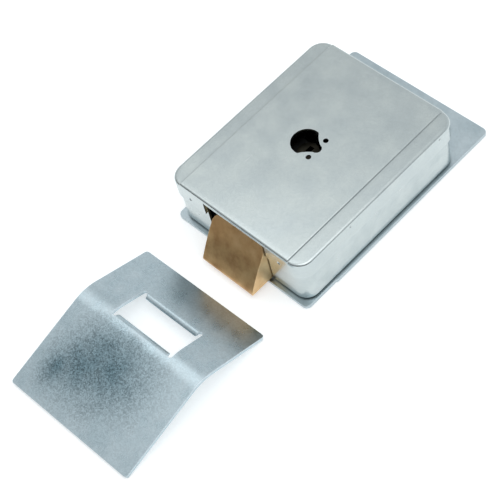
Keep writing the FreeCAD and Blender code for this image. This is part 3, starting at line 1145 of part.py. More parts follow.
def make_strike():
    """The strike plate: a sheet bent like a low roof, slotted in its rear slope for the bolt."""
    body = make_body("strike_plate")
    near_drop = strike_drop("strike_near")
    far_drop = strike_drop("strike_far")
    outline = draw_outline(new_sketch(body, "strike_section", "YZ_Plane", "-strike_width / 2"), [
        ("-strike_near", "0"), ("0", f"strike_height - {near_drop}"), ("strike_far", "0"),
        ("strike_far", far_drop), ("0", "strike_height"), ("-strike_near", near_drop)])
    pad = swept(body, "Pad", "strike_roof", outline, "strike_width")
    near_end = -value_of("strike_near")
    far_end = value_of("strike_far")

    def outer_bend(start, end, edge):
        return level_at(value_of("strike_height"))(start, end, edge)

    def inner_bend(start, end, edge):
        return level_at(value_of(f"strike_height - {near_drop}"))(start, end, edge)

    def end_corner(start, end, edge):
        return upright(start, end, edge) and min(abs(start.y - near_end), abs(start.y - far_end)) < 1e-6
    bend = rounded(body, "Fillet", "strike_outer_bend", pad, outer_bend, "strike_bend")
    bend = rounded(body, "Fillet", "strike_inner_bend", bend, inner_bend, "strike_bend - strike_sheet")
    rounded(body, "Fillet", "strike_corners", bend, end_corner, "strike_corner")
    left_root = "(2 * strike_relief_radius - strike_slot_left)"
    right_root = "(strike_slot_right - 2 * strike_relief_radius)"
    near_root = "(strike_slot_start - strike_relief_radius)"
    far_root = "(strike_slot_end + strike_relief_radius)"
    left_middle = "(strike_relief_radius - strike_slot_left)"
    right_middle = "(strike_slot_right - strike_relief_radius)"
    relief = "strike_relief_radius"
    slot = draw_outline(new_sketch(body, "slot_outline", "XY_Plane", "0"), [
        ("-strike_slot_left", "strike_slot_start", relief), (left_middle, near_root, relief),
        (left_root, "strike_slot_start"), (left_root, near_root), (right_root, near_root),
        (right_root, "strike_slot_start", relief), (right_middle, near_root, relief),
        ("strike_slot_right", "strike_slot_start"),
        ("strike_slot_right", "strike_slot_end", relief), (right_middle, far_root, relief),
        (right_root, "strike_slot_end"), (right_root, far_root), (left_root, far_root),
        (left_root, "strike_slot_end", relief), (left_middle, far_root, relief),
        ("-strike_slot_left", "strike_slot_end")])
    swept(body, "Pocket", "bolt_slot", slot, "strike_height", reverse=True)
    body.Label = "strike_plate_blank"
    rise = math.atan(value_of(f"(strike_height - {near_drop}) / strike_near"))
    fall = math.atan(value_of(f"(strike_height - {far_drop}) / strike_far"))
    bend_radius = value_of("strike_bend")
    leg = bend_radius * math.tan((rise + fall) / 2)
    bend_y = bend_radius * math.sin(rise) - leg * math.cos(rise)
    bend_z = value_of("strike_height") - leg * math.sin(rise) - bend_radius * math.cos(rise)
    near_slope = math.asin((value_of(near_root) - bend_y) / bend_radius)
    near_edge = Vector(value_of(left_root), value_of(near_root), bend_z + bend_radius * math.cos(near_slope))
    far_edge = Vector(value_of(left_root), value_of(far_root),
                      value_of("strike_height") - math.tan(fall) * value_of(far_root))
    length = value_of(f"{right_root} - {left_root}")
    lips = [strike_lip(near_edge, near_slope, 1, length), strike_lip(far_edge, fall, -1, length)]
    piece = group("strike_plate", [body.Shape.fuse(lips).removeSplitter()])
    piece.Placement = FreeCAD.Placement(
        Vector(0, value_of(f"{case_front} - strike_ahead"), 0),
        FreeCAD.Rotation(Vector(0, 0, 1), value_of("strike_turn")))
    return piece


def strike_lip(edge, slope, direction, length):
    """A quarter roll that turns down from one long edge of the slot, into the slot."""
    radius = value_of("strike_lip_radius")
    inner = radius - value_of("strike_lip_sheet")
    root = value_of("strike_lip_root")
    roll = math.radians(value_of("strike_lip_roll"))
    along = Vector(0, math.cos(slope), -math.sin(slope)) * direction
    normal = Vector(0, math.sin(slope), math.cos(slope))
    centre = edge - normal * radius

    def rim(r, angle):
        return centre + normal * (r * math.cos(angle)) + along * (r * math.sin(angle))
    buried = edge - along * root - normal * root
    under = rim(inner, 0) - along * root
    wire = Part.Wire([
        Part.LineSegment(buried, edge).toShape(),
        Part.Arc(edge, rim(radius, roll / 2), rim(radius, roll)).toShape(),
        Part.LineSegment(rim(radius, roll), rim(inner, roll)).toShape(),
        Part.Arc(rim(inner, roll), rim(inner, roll / 2), rim(inner, 0)).toShape(),
        Part.LineSegment(rim(inner, 0), under).toShape(),
        Part.LineSegment(under, buried).toShape()])
    return Part.Face(wire).extrude(Vector(length, 0, 0))


def main():
    plate_top = floor_height
    cutters = rivet_cutters(all_floor_rivets, plate_top)
    guide_height = floor_height + value_of("guide_sheet")
    bracket_height = floor_height + value_of("bracket_sheet")
    yoke_height = floor_height + value_of("yoke_sheet")
    yoke_cutters = rivet_cutters(yoke_screws, yoke_height)
    left_spring, right_spring = spring_lines()
    bolt = make_bolt()
    tail = make_bolt_tail()
    tail_rivets = make_tail_rivets()
    rivet_holes = [solid.copy() for solid in tail_rivets.Shape.Solids]
    pieces = [
        drilled(make_mounting_plate(), cutters + yoke_cutters, "mounting_plate"),
        drilled(make_case(), cutters + yoke_cutters, "case_body"),
        make_cover(),
        group("case_rivets", [countersunk_rivet(x, y, floor_height) for x, y in case_rivets]),
        drilled(make_guide(), rivet_cutters(guide_rivets, guide_height), "bolt_guide"),
        group("guide_rivets", [countersunk_rivet(x, y, guide_height) for x, y in guide_rivets]),
        drilled(make_bracket(), rivet_cutters(bracket_rivets, bracket_height), "mechanism_bracket"),
        group("bracket_rivets", [countersunk_rivet(x, y, bracket_height) for x, y in bracket_rivets]),
        make_rods(),
        make_spring("bolt_spring_left", left_spring),
        make_spring("bolt_spring_right", right_spring),
        drilled(bolt, rivet_holes, "latch_bolt"),
        drilled(tail, rivet_holes, "bolt_tail"),
        tail_rivets,
        make_bush(),
        make_follower(),
        make_lever(),
        *make_pivot(),
        *make_plunger(),
        drilled(make_yoke(), yoke_cutters, "solenoid_yoke"),
        group("yoke_screws", [countersunk_screw(x, y, yoke_height) for x, y in yoke_screws]),
        *make_coil(),
        *make_terminals(),
        make_leads(),
        make_grommet(),
        make_strike(),
    ]
    doc.recompute()
    for item in doc.Objects:
        if "Invalid" in item.State or "Error" in item.State:
            raise RuntimeError(f"{item.Label} failed: {item.State}")
    os.makedirs("parts", exist_ok=True)
    for piece in pieces:
        shape = piece.Shape
        if shape.isNull() or not shape.isValid():
            raise RuntimeError(f"{piece.Label} has no valid shape")
        shape.exportStep(os.path.join("parts", piece.Label + ".step"))
        print(f"{piece.Label}: {len(shape.Solids)} solids, {shape.Volume:.1f} mm3")


main()
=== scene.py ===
import math
from contextlib import contextmanager
from functools import partial

import bmesh
import bpy
from mathutils import Matrix, Vector


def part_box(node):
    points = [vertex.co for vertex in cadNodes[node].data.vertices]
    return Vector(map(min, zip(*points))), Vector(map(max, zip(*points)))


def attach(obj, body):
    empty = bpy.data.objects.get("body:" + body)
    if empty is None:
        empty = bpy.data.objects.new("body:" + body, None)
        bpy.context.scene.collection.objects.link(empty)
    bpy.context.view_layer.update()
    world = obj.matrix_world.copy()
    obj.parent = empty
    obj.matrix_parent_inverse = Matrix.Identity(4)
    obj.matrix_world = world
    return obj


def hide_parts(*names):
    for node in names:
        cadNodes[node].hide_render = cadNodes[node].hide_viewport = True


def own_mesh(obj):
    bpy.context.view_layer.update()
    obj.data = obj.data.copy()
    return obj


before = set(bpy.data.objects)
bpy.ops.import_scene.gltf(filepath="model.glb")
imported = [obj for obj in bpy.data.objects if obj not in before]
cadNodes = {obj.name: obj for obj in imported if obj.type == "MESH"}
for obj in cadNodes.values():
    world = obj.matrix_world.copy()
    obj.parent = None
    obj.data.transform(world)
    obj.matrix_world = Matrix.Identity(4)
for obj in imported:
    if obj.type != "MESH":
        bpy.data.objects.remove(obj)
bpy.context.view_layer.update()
collection = bpy.context.scene.collection
mm = 0.001  # shapes are written in millimetres, Blender works in metres

print("frame:", len(cadNodes), "nodes")


def newObject(name, data):  # linked to the scene
    thing = bpy.data.objects.new(name, data)
    collection.objects.link(thing)
    return thing


# camera, where the photograph was taken from

photoView = {
    "place": (339.4, -272.3, 572.1),
    "right": (0.7063, 0.6888, -0.1634),
    "up": (-0.5134, 0.6573, 0.5515),
    "back": (0.4873, -0.3057, 0.8179),
    "lens": 103.4,
    "sensor": 36.0,
}

cameraData = bpy.data.cameras.new("photoCamera")
cameraData.lens = photoView["lens"]
cameraData.sensor_width = photoView["sensor"]
cameraData.clip_start = 0.01
cameraData.clip_end = 20
camera = newObject("photoCamera", cameraData)
axes = Matrix((photoView["right"], photoView["up"], photoView["back"])).transposed()
camera.matrix_world = Matrix.LocRotScale(Vector(photoView["place"]) * mm, axes.to_quaternion(), None)
bpy.context.scene.camera = camera
bpy.context.scene.view_settings.view_transform = "Standard"


# tools for nodes

def linear(code):  # an sRGB hex value as a linear colour
    shares = [int(code[i:i + 2], 16) / 255 for i in (1, 3, 5)]
    return [c / 12.92 if c <= 0.04045 else ((c + 0.055) / 1.055) ** 2.4 for c in shares] + [1.0]


def feed(node, inputs):  # a socket, or a node's first output, is linked; any other value is set
    for key, value in inputs.items():
        source = value.outputs[0] if isinstance(value, bpy.types.Node) else value
        if isinstance(source, bpy.types.NodeSocket):
            node.id_data.links.new(source, node.inputs[key])
        else:
            node.inputs[key].default_value = value


def addNode(tree, kind, inputs=None, ramp=(), **settings):
    node = tree.nodes.new(kind)
    for name, value in settings.items():
        setattr(node, name, value)
    feed(node, inputs or {})
    if ramp:
        stops = node.color_ramp.elements
        while len(stops) < len(ramp):
            stops.new(1.0)
        for stop, (place, code) in zip(stops, ramp):
            stop.position = place
            stop.color = linear(code)
    return node


def newMaterial(name, **surface):  # a shader with its constant sockets set, and the object's own coordinates
    material = bpy.data.materials.new(name)
    material.use_nodes = True
    material.node_tree.nodes.clear()
    add = partial(addNode, material.node_tree)
    shader = add("ShaderNodeBsdfPrincipled", surface)
    add("ShaderNodeOutputMaterial", {"Surface": shader})
    place = add("ShaderNodeTexCoord").outputs["Object"]
    return material, add, shader, place


def pitch(size):  # texture scale that gives features of this size in millimetres
    return 1 / (size * mm)


# finishes

def dress(add, shader, look, colour, rough, height):  # what every finish ends with
    bump = add("ShaderNodeBump", {
        "Strength": look["relief"], "Distance": look["depth"] * mm, "Height": height})
    feed(shader, {"Base Color": colour, "Roughness": rough, "Normal": bump})


def wornEdges(add, radius):  # 1 along outer edges and 0 on faces, from the bevelled normal
    rounded = add("ShaderNodeBevel", {"Radius": radius * mm}, samples=4)
    plain = add("ShaderNodeNewGeometry").outputs["Normal"]
    facing = add("ShaderNodeVectorMath", {0: rounded, 1: plain}, operation="DOT_PRODUCT")
    return add("ShaderNodeMapRange", {
        "Value": facing.outputs["Value"], "From Min": 0.995, "From Max": 0.90})


sheetLook = {  # what most of the sheets share, with sizes in millimetres
    "cloud": 7, "spangle": 0.9, "speckle": 0.04, "edgeRadius": 0.3, "crevice": 1.5, "grime": 0.6,
    "line": 0.5, "scratch": 0.6, "relief": 0.15, "depth": 0.012,
}


def rolledZinc(name, look, shaded=None):  # cold rolled, zinc plated: bluish satin, clouds, rolling lines, painted shade in crevices
    look = {**sheetLook, **look}
    material, add, shader, place = newMaterial(name, Metallic=1.0)
    cloud = add("ShaderNodeTexNoise", {
        "Vector": place, "Scale": pitch(look["cloud"]), "Detail": 3.0, "Roughness": 0.55})
    base = add("ShaderNodeValToRGB", {"Fac": cloud}, ramp=((0.32, look["low"]), (0.68, look["high"])))
    spangle = add("ShaderNodeTexVoronoi", {"Vector": place, "Scale": pitch(look["spangle"])})
    grey = add("ShaderNodeSeparateColor", {"Color": spangle.outputs["Color"]})
    speckle = add("ShaderNodeMapRange", {
        "Value": grey.outputs["Red"], "To Min": 1 - look["speckle"], "To Max": 1 + look["speckle"]})
    if shaded:  # painted dark reflection: a darker, coarser patch in the middle of a panel
        patch = shaded(add, place)
        base = add("ShaderNodeMix", {
            "Factor": patch, "A": base, "B": linear(look["patch"])}, data_type="RGBA").outputs[2]
        strength = add("ShaderNodeMapRange", {
            "Value": patch, "To Min": look["speckle"], "To Max": look["patchSpeckle"]})
        centred = add("ShaderNodeMath", {0: grey.outputs["Red"], 1: 0.5}, operation="SUBTRACT")
        speckle = add("ShaderNodeMath", {0: centred, 1: strength, 2: 1.0}, operation="MULTIPLY_ADD")
    # painted shade: the colour darkens where ambient occlusion finds the surface hemmed in, in crevices and
    # at the feet of walls
    openness = add("ShaderNodeAmbientOcclusion", {"Distance": look["crevice"] * mm}, samples=4)
    clean = add("ShaderNodeMapRange", {
        "Value": openness.outputs["AO"], "From Min": 0.25, "From Max": 0.92, "To Min": look["grime"]})
    tone = add("ShaderNodeMath", {0: speckle, 1: clean}, operation="MULTIPLY")
    speckled = add("ShaderNodeVectorMath", {0: base, "Scale": tone}, operation="SCALE")
    edge = wornEdges(add, look["edgeRadius"])
    colour = add("ShaderNodeMix", {
        "Factor": edge, "A": speckled, "B": linear(look["edge"])}, data_type="RGBA")
    rolled = add("ShaderNodeMapping", {"Vector": place, "Scale": (pitch(look["line"]), 25.0, 25.0)})
    lines = add("ShaderNodeTexNoise", {"Vector": rolled, "Scale": 1.0, "Detail": 2.0})
    worn = add("ShaderNodeMapping", {
        "Vector": place, "Rotation": (0.0, 0.0, 0.45), "Scale": (pitch(look["scratch"]), 30.0, 30.0)})
    marks = add("ShaderNodeTexNoise", {"Vector": worn, "Scale": 1.0, "Detail": 1.0})
    scratch = add("ShaderNodeMapRange", {
        "Value": marks, "From Min": 0.70, "From Max": 0.76, "To Max": 0.04})
    gloss = add("ShaderNodeMapRange", {
        "Value": cloud, "From Min": 0.25, "From Max": 0.75, "To Min": look["glossy"], "To Max": look["dull"]})
    rough = add("ShaderNodeMath", {0: gloss, 1: scratch})
    height = add("ShaderNodeMath", {0: lines, 1: grey.outputs["Green"]})
    dress(add, shader, look, colour.outputs[2], rough, height)
    return material


def castBrass(name, look):  # sand cast brass, tarnished brown on raw faces and rubbed yellow where it slides
    material, add, shader, place = newMaterial(name, Metallic=1.0)
    stain = add("ShaderNodeTexNoise", {
        "Vector": place, "Scale": pitch(look["stain"]), "Detail": 5.0, "Roughness": 0.6})
    raw = add("ShaderNodeValToRGB", {"Fac": stain}, ramp=(
        (0.30, look["low"]), (0.52, look["middle"]), (0.74, look["high"])))
    rubbed = add("ShaderNodeValToRGB", {"Fac": stain}, ramp=(
        (0.30, look["rubbedLow"]), (0.70, look["rubbedHigh"])))
    normal = add("ShaderNodeSeparateXYZ", {"Vector": add("ShaderNodeNewGeometry").outputs["Normal"]})
    across = add("ShaderNodeMath", {0: normal.outputs["X"]}, operation="ABSOLUTE")
    flank = add("ShaderNodeMapRange", {"Value": across, "From Min": 0.55, "From Max": 0.95})
    edge = wornEdges(add, look["edgeRadius"])
    slid = add("ShaderNodeMath", {0: flank, 1: edge}, operation="MAXIMUM")
    colour = add("ShaderNodeMix", {"Factor": slid, "A": raw, "B": rubbed}, data_type="RGBA")
    gloss = add("ShaderNodeMapRange", {
        "Value": stain, "From Min": 0.3, "From Max": 0.7, "To Min": look["dull"], "To Max": look["glossy"]})
    grain = add("ShaderNodeTexNoise", {"Vector": place, "Scale": pitch(look["grain"]), "Detail": 2.0})
    filed = add("ShaderNodeMapping", {"Vector": place, "Scale": (pitch(look["file"]), 40.0, 40.0)})
    strokes = add("ShaderNodeTexNoise", {"Vector": filed, "Scale": 1.0, "Detail": 1.0})
    height = add("ShaderNodeMath", {0: grain, 1: strokes})
    dress(add, shader, look, colour.outputs[2], gloss, height)
    return material


def evenColour(name, kind, look):  # one colour with a slight tint, and fine tool marks or mould grain
    look = {**kind, **look}
    material, add, shader, place = newMaterial(name, **look["surface"])
    tint = add("ShaderNodeTexNoise", {
        "Vector": place, "Scale": pitch(look["cloud"]), "Detail": look["cloudDetail"]})
    colour = add("ShaderNodeValToRGB", {"Fac": tint}, ramp=((0.35, look["low"]), (0.65, look["high"])))
    mark = add("ShaderNodeTexNoise", {
        "Vector": place, "Scale": pitch(look["mark"]), "Detail": look["markDetail"]})
    gloss = add("ShaderNodeMapRange", {
        "Value": mark, "From Min": 0.3, "From Max": 0.7, "To Min": look["glossy"], "To Max": look["dull"]})
    dress(add, shader, look, colour, gloss, mark)
    return material


strikeWear = {  # painted dark reflection on the near slope: spots by middle and reach in millimetres, and where it ends before the lip
    "blots": (((-1, -150), (28.57, 25.64)), ((-14, -157), (20, 20)), ((-10, -151), (14.93, 23.81)),
              ((-24, -165), (11.24, 13.89))),
    "blend": 0.3, "wander": 9, "broken": -0.9, "outer": 0.95, "inner": -0.55, "lip": (-130.5, -133),
}


def strikePatch(add, place):  # painted dark reflection in the middle of the near slope: spots, broken by noise
    reach = None
    for (x, y), (wide, deep) in strikeWear["blots"]:
        away = add("ShaderNodeVectorMath", {0: place, 1: (x * mm, y * mm, 0)}, operation="SUBTRACT")
        size = (pitch(wide), pitch(deep), 0)
        grown = add("ShaderNodeVectorMath", {0: away, 1: size}, operation="MULTIPLY")
        length = add("ShaderNodeVectorMath", {0: grown}, operation="LENGTH").outputs["Value"]
        reach = length if reach is None else add("ShaderNodeMath", {
            0: reach, 1: length, 2: strikeWear["blend"]}, operation="SMOOTH_MIN")
    wander = add("ShaderNodeTexNoise", {
        "Vector": place, "Scale": pitch(strikeWear["wander"]), "Detail": 5.0})
    broken = add("ShaderNodeMath", {0: wander, 1: strikeWear["broken"], 2: reach}, operation="MULTIPLY_ADD")
    patch = add("ShaderNodeMapRange", {
        "Value": broken, "From Min": strikeWear["outer"], "From Max": strikeWear["inner"]},
        interpolation_type="SMOOTHSTEP")
    along = add("ShaderNodeSeparateXYZ", {"Vector": place})
    start, full = strikeWear["lip"]
    slope = add("ShaderNodeMapRange", {  # the painted reflection fades out before the lip
        "Value": along.outputs["Y"], "From Min": start * mm, "From Max": full * mm})
    return add("ShaderNodeMath", {0: patch, 1: slope}, operation="MULTIPLY")


coverZinc = rolledZinc("brightZincPressedSteel", {  # pressed lid, bright zinc: pale, satin, slightly blue
    "low": "#bfc8c9", "high": "#c8d0cf", "cloud": 16, "speckle": 0.02, "edgeRadius": 0.5, "crevice": 2.5,
    "grime": 0.35, "edge": "#d3dadc", "line": 0.35, "scratch": 0.5, "glossy": 0.19, "dull": 0.26,
    "relief": 0.06, "depth": 0.01})
caseZinc = rolledZinc("brightZincDrawnSteel", {  # drawn tray, the same plating polished by the die
    "low": "#b9c3c4", "high": "#c8d0d0", "cloud": 9, "spangle": 0.8, "speckle": 0.02, "edgeRadius": 0.5,
    "edge": "#d3dadb", "glossy": 0.20, "dull": 0.28, "relief": 0.10})
plateZinc = rolledZinc("zincPlatedFlatSteel", {  # flat sheet, plated blue
    "low": "#b0bfc5", "high": "#bfcbd0", "cloud": 12, "spangle": 1.0, "edgeRadius": 0.6, "edge": "#d0dade",
    "glossy": 0.26, "dull": 0.36, "depth": 0.015})
strikeZinc = rolledZinc("spangledZincBentSteel", {  # hot dipped sheet: its small crystals show as speckle; a painted dark reflection lies on the near slope
    "low": "#b3c4cb", "high": "#c1cfd5", "cloud": 9, "spangle": 0.6, "speckle": 0.16, "patch": "#6a818a",
    "patchSpeckle": 1.0, "edgeRadius": 0.7, "grime": 0.5, "edge": "#d8e2e8", "line": 0.8, "scratch": 0.9,
    "glossy": 0.24, "dull": 0.34, "depth": 0.02}, strikePatch)
bracketSteel = rolledZinc("phosphatedPressedSteel", {  # inner pressings, phosphate and oil: dark grey, which is also painted shade for what shows through the keyhole
    "low": "#2b2c2c", "high": "#393a39", "speckle": 0.08, "edge": "#5b5c5a", "glossy": 0.38, "dull": 0.50})
tailZinc = rolledZinc("yellowZincFlatSteel", {  # strip and lever, with a faint yellow passivation
    "low": "#b5b096", "high": "#c8c4ab", "edge": "#d6d2bc", "glossy": 0.28, "dull": 0.40})
yokeIron = rolledZinc("zincPlatedSoftIron", {  # magnet frame, matt zinc
    "low": "#a4abad", "high": "#b8bebf", "cloud": 6, "spangle": 0.8, "edgeRadius": 0.4, "edge": "#cbd0d1",
    "glossy": 0.32, "dull": 0.45})
boltBrass = castBrass("sandCastBrass", {  # tarnished casting, rubbed bright on its flanks
    "low": "#ad855a", "middle": "#c69f6f", "high": "#d4af80", "rubbedLow": "#dcb988", "rubbedHigh": "#edce9e",
    "edgeRadius": 0.5, "stain": 7, "dull": 0.50, "glossy": 0.36, "grain": 0.45, "file": 0.6, "relief": 0.30,
    "depth": 0.05})

machined = {  # turned, milled or drawn metal: fine tool marks
    "surface": {"Metallic": 1.0}, "cloud": 4, "cloudDetail": 3.0, "mark": 0.4, "markDetail": 1.0,
    "relief": 0.25, "depth": 0.01,
}
followerSteel = evenColour("blackenedSteel", machined, {  # oil blackened: nearly black, a faint brown sheen; the near black is also painted shade for the view into the keyhole
    "low": "#26241f", "high": "#34322b", "cloud": 5, "glossy": 0.28, "dull": 0.42})
bushBronze = evenColour("sinteredBronze", machined, {  # porous and oily, duller than brass
    "low": "#8d6f48", "high": "#a4855a", "mark": 0.5, "glossy": 0.42, "dull": 0.58, "depth": 0.02})
rivetSteel = evenColour("zincPlatedRivetSteel", machined, {  # cold headed, bright
    "low": "#b6bfc2", "high": "#c9d0d2", "mark": 0.5, "glossy": 0.25, "dull": 0.38})
screwSteel = evenColour("nickelPlatedScrewSteel", machined, {  # warm grey nickel over rolled steel
    "low": "#b3ada2", "high": "#c6c0b4", "glossy": 0.22, "dull": 0.34})
pinSteel = evenColour("groundSteel", machined, {  # ground bar: grey and smooth
    "low": "#9d9fa0", "high": "#b4b6b6", "cloud": 6, "mark": 0.3, "glossy": 0.18, "dull": 0.28,
    "depth": 0.006})
springSteel = evenColour("drawnSpringWire", machined, {  # patented wire, oiled: bluish grey
    "low": "#5b6064", "high": "#74797c", "cloud": 3, "glossy": 0.25, "dull": 0.40})
plungerNickel = evenColour("nickelPlatedSoftIron", machined, {  # smooth, warm grey
    "low": "#b0aa9c", "high": "#c3bdaf", "cloud": 6, "mark": 0.35, "glossy": 0.16, "dull": 0.26,
    "depth": 0.006})
windingCopper = evenColour("enamelledCopperWire", machined, {  # red brown varnish over copper
    "low": "#8e4a26", "high": "#a85c31", "cloud": 2, "mark": 0.3, "glossy": 0.22, "dull": 0.34,
    "depth": 0.005})

moulded = {  # moulded or extruded plastic and rubber: soft gloss, fine mould grain
    "surface": {"IOR": 1.53}, "cloud": 6, "cloudDetail": 2.0, "mark": 0.3, "markDetail": 2.0,
    "relief": 0.3, "depth": 0.02,
}
softened = {**moulded, "surface": {"IOR": 1.52}, "cloud": 4}  # vinyl and rubber
bobbinNylon = evenColour("mouldedNylon", moulded, {  # natural glass filled nylon, off white
    "low": "#d6d0c0", "high": "#e0dbcc", "glossy": 0.40, "dull": 0.52})
terminalPlastic = evenColour("mouldedPolyamide", moulded, {  # light grey, slightly waxy
    "low": "#c3c5c2", "high": "#cdcfcc", "glossy": 0.34, "dull": 0.46})
leadPlastic = evenColour("extrudedLeadSleeve", softened, {  # soft vinyl sleeve, dark red
    "low": "#7c2822", "high": "#8c3029", "glossy": 0.35, "dull": 0.48, "depth": 0.01})
grommetRubber = evenColour("mouldedRubber", softened, {  # black, matt, faint bloom
    "low": "#1c1c1d", "high": "#2a2a2b", "mark": 0.4, "glossy": 0.55, "dull": 0.72, "depth": 0.03})

print("finishes: made")


# tools for shapes

def newPiece(name, points, faces=(), edges=()):  # points in millimetres
    mesh = bpy.data.meshes.new(name)
    mesh.from_pydata([(x * mm, y * mm, z * mm) for x, y, z in points], edges, faces)
    mesh.update()
    return newObject(name, mesh)


def evaluated(piece):  # the mesh that a curve or the modifiers give
    depsgraph = bpy.context.evaluated_depsgraph_get()
    return bpy.data.meshes.new_from_object(piece.evaluated_get(depsgraph), depsgraph=depsgraph)


def settle(piece):  # the modifiers' result becomes the piece's own mesh
    mesh = evaluated(piece)
    piece.modifiers.clear()
    piece.data = mesh
    return piece


def modify(piece, kind, **settings):
    modifier = piece.modifiers.new(kind, kind)
    for name, value in settings.items():
        setattr(modifier, name, value)
    return settle(piece)


def cutAway(piece, *cutters):
    for cutter in cutters:
        modify(piece, "BOOLEAN", operation="DIFFERENCE", solver="EXACT", object=cutter)
        bpy.data.objects.remove(cutter)
    return piece


def softEdges(piece, width, segments=2, angle=40):
    return modify(piece, "BEVEL", width=width * mm, segments=segments, limit_method="ANGLE",
                  angle_limit=math.radians(angle), use_clamp_overlap=True)


def thicken(piece, thickness, group=""):  # the surface gets its thickness on the inside
    return modify(piece, "SOLIDIFY", thickness=thickness * mm, offset=-1, use_even_offset=True,
                  vertex_group=group)


def shade(piece, angle=35):  # smooth over curves, crisp at folds, flat where the sheet is flat
    piece.data.shade_smooth()
    piece.data.set_sharp_from_angle(angle=math.radians(angle))
    return modify(piece, "WEIGHTED_NORMAL", keep_sharp=True, mode="FACE_AREA")


def finish(piece, material, body, slot, *replaced):
    piece.data.materials.clear()
    piece.data.materials.append(material)
    for face in piece.data.polygons:
        face.material_index = 0
    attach(piece, body)
    if replaced:
        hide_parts(*replaced)
    return piece


swings = {  # from upright to each axis
    "Z": lambda p: p,
    "X": lambda p: (p[2], p[0], p[1]),
    "Y": lambda p: (p[1], p[2], p[0]),
}


def prism(outline, low, high, axis="Z", name="cutter"):  # from an anticlockwise outline, along the axis
    count = len(outline)
    points = [swings[axis]((*place, level)) for level in (low, high) for place in outline]
    faces = [tuple(range(count - 1, -1, -1)), tuple(range(count, 2 * count))]
    faces += [(i, (i + 1) % count, (i + 1) % count + count, i + count) for i in range(count)]
    return newPiece(name, points, faces)


def box(low, high):
    (x0, y0, z0), (x1, y1, z1) = low, high
    return prism([(x0, y0), (x1, y0), (x1, y1), (x0, y1)], z0, z1)


def arc(x, y, radius, start, end, steps):  # angles in degrees
    angles = [math.radians(start + (end - start) * k / steps) for k in range(steps + 1)]
    return [(x + radius * math.cos(angle), y + radius * math.sin(angle)) for angle in angles]


def ring(x, y, radius, steps=40):
    return arc(x, y, radius, 0, 360, steps)[:-1]


def turned(name, profile, steps=40, place=(0, 0, 0), axis="Z"):  # profile of (radius, height)
    points, faces, rows = [], [], []
    for radius, height in profile:
        count = 1 if radius < 1e-6 else steps  # one point on the axis
        rows.append((len(points), count))
        for k in range(count):
            angle = 2 * math.pi * k / steps
            points.append((radius * math.cos(angle), radius * math.sin(angle), height))
    for (first, many), (second, more) in zip(rows, rows[1:]):
        if many == 1 and more == 1:
            continue
        for k in range(steps):
            following = (k + 1) % steps
            loop = [first + (k if many > 1 else 0), first + (following if many > 1 else 0),
                    second + (following if more > 1 else 0), second + (k if more > 1 else 0)]
            faces.append(tuple(dict.fromkeys(loop)))
    return newPiece(name, [[a + b for a, b in zip(swings[axis](p), place)] for p in points], faces)


@contextmanager
def editing(mesh):  # the mesh opened for changes, which are written back at the end
    work = bmesh.new()
    work.from_mesh(mesh)
    yield work
    work.to_mesh(mesh)
    work.free()


def tidy(piece, distance=0.001, flat=None):  # doubles merged, flat facets joined, faces turned outwards
    with editing(piece.data) as work:
        bmesh.ops.remove_doubles(work, verts=work.verts, dist=distance * mm)
        if flat:
            bmesh.ops.dissolve_limit(
                work, angle_limit=math.radians(flat), verts=work.verts, edges=work.edges)
        bmesh.ops.recalc_face_normals(work, faces=work.faces)
    return piece


def panSheet(name, pan, stations, faceLevel, skip=None):
    # one surface: a face of rows and columns, the bend round it, and the wall down or up to its foot
    way = -1 if pan["down"] else 1
    inner = pan["corner"] - pan["bend"]
    halfFace = pan["halfWidth"] - pan["bend"]
    near, far = pan["front"] + pan["bend"], pan["rear"] - pan["bend"]
    rows = pan["rows"]
    bends = [math.radians(90 * k / pan["cornerSteps"]) for k in range(1, pan["cornerSteps"] + 1)]
    straight = halfFace - inner
    columns = [(-straight - inner * math.sin(a), inner * (1 - math.cos(a)), (-math.sin(a), -math.cos(a)))
               for a in reversed(bends)]
    columns += [(x, 0, (0, -1)) for x in stations]
    columns += [(straight + inner * math.sin(a), inner * (1 - math.cos(a)), (math.sin(a), -math.cos(a)))
                for a in bends]
    points, faces = [], []
    for x, setBack in [column[:2] for column in columns]:
        for row in range(rows + 1):
            share = row / rows
            y = (near + setBack) * (1 - share) + (far - setBack) * share
            points.append((x, y, faceLevel(x, y)))
    tall = rows + 1
    for c in range(len(columns) - 1):
        for r in range(rows):
            quad = (c * tall + r, (c + 1) * tall + r, (c + 1) * tall + r + 1, c * tall + r + 1)
            faces.append(quad if pan["down"] else quad[::-1])
    last = len(columns) - 1
    rim = [(c * tall, columns[c][2]) for c in range(last + 1)]
    rim += [(last * tall + r, (1, 0)) for r in range(1, rows)]
    rim += [(c * tall + rows, (columns[c][2][0], -columns[c][2][1])) for c in range(last, -1, -1)]
    rim += [(r, (-1, 0)) for r in range(rows - 1, 0, -1)]
    levels = []
    for index, outward in rim:
        x, y, z = points[index]
        line = [index]
        for k in range(1, pan["bendSteps"] + 1):
            angle = math.radians(90 * k / pan["bendSteps"])
            out, fall = pan["bend"] * math.sin(angle), pan["bend"] * (1 - math.cos(angle))
            line.append(len(points))
            points.append((x + outward[0] * out, y + outward[1] * out, z + way * fall))
        start = points[-1]
        for share in pan["wallShares"]:
            line.append(len(points))
            points.append((start[0], start[1], start[2] * (1 - share) + pan["foot"] * share))
        levels.append(line)
    for i, line in enumerate(levels):
        following = levels[(i + 1) % len(levels)]
        for k in range(len(line) - 1):
            quad = (line[k + 1], following[k + 1], following[k], line[k])
            if not pan["down"]:
                quad = (line[k], following[k], following[k + 1], line[k + 1])
            middle = [sum(points[p][axis] for p in quad) / 4 for axis in range(3)]
            if not (skip and skip(*middle)):
                faces.append(quad)
    return newPiece(name, points, faces)


def spaced(start, end, count):
    return [start + (end - start) * k / count for k in range(count + 1)]


# cover

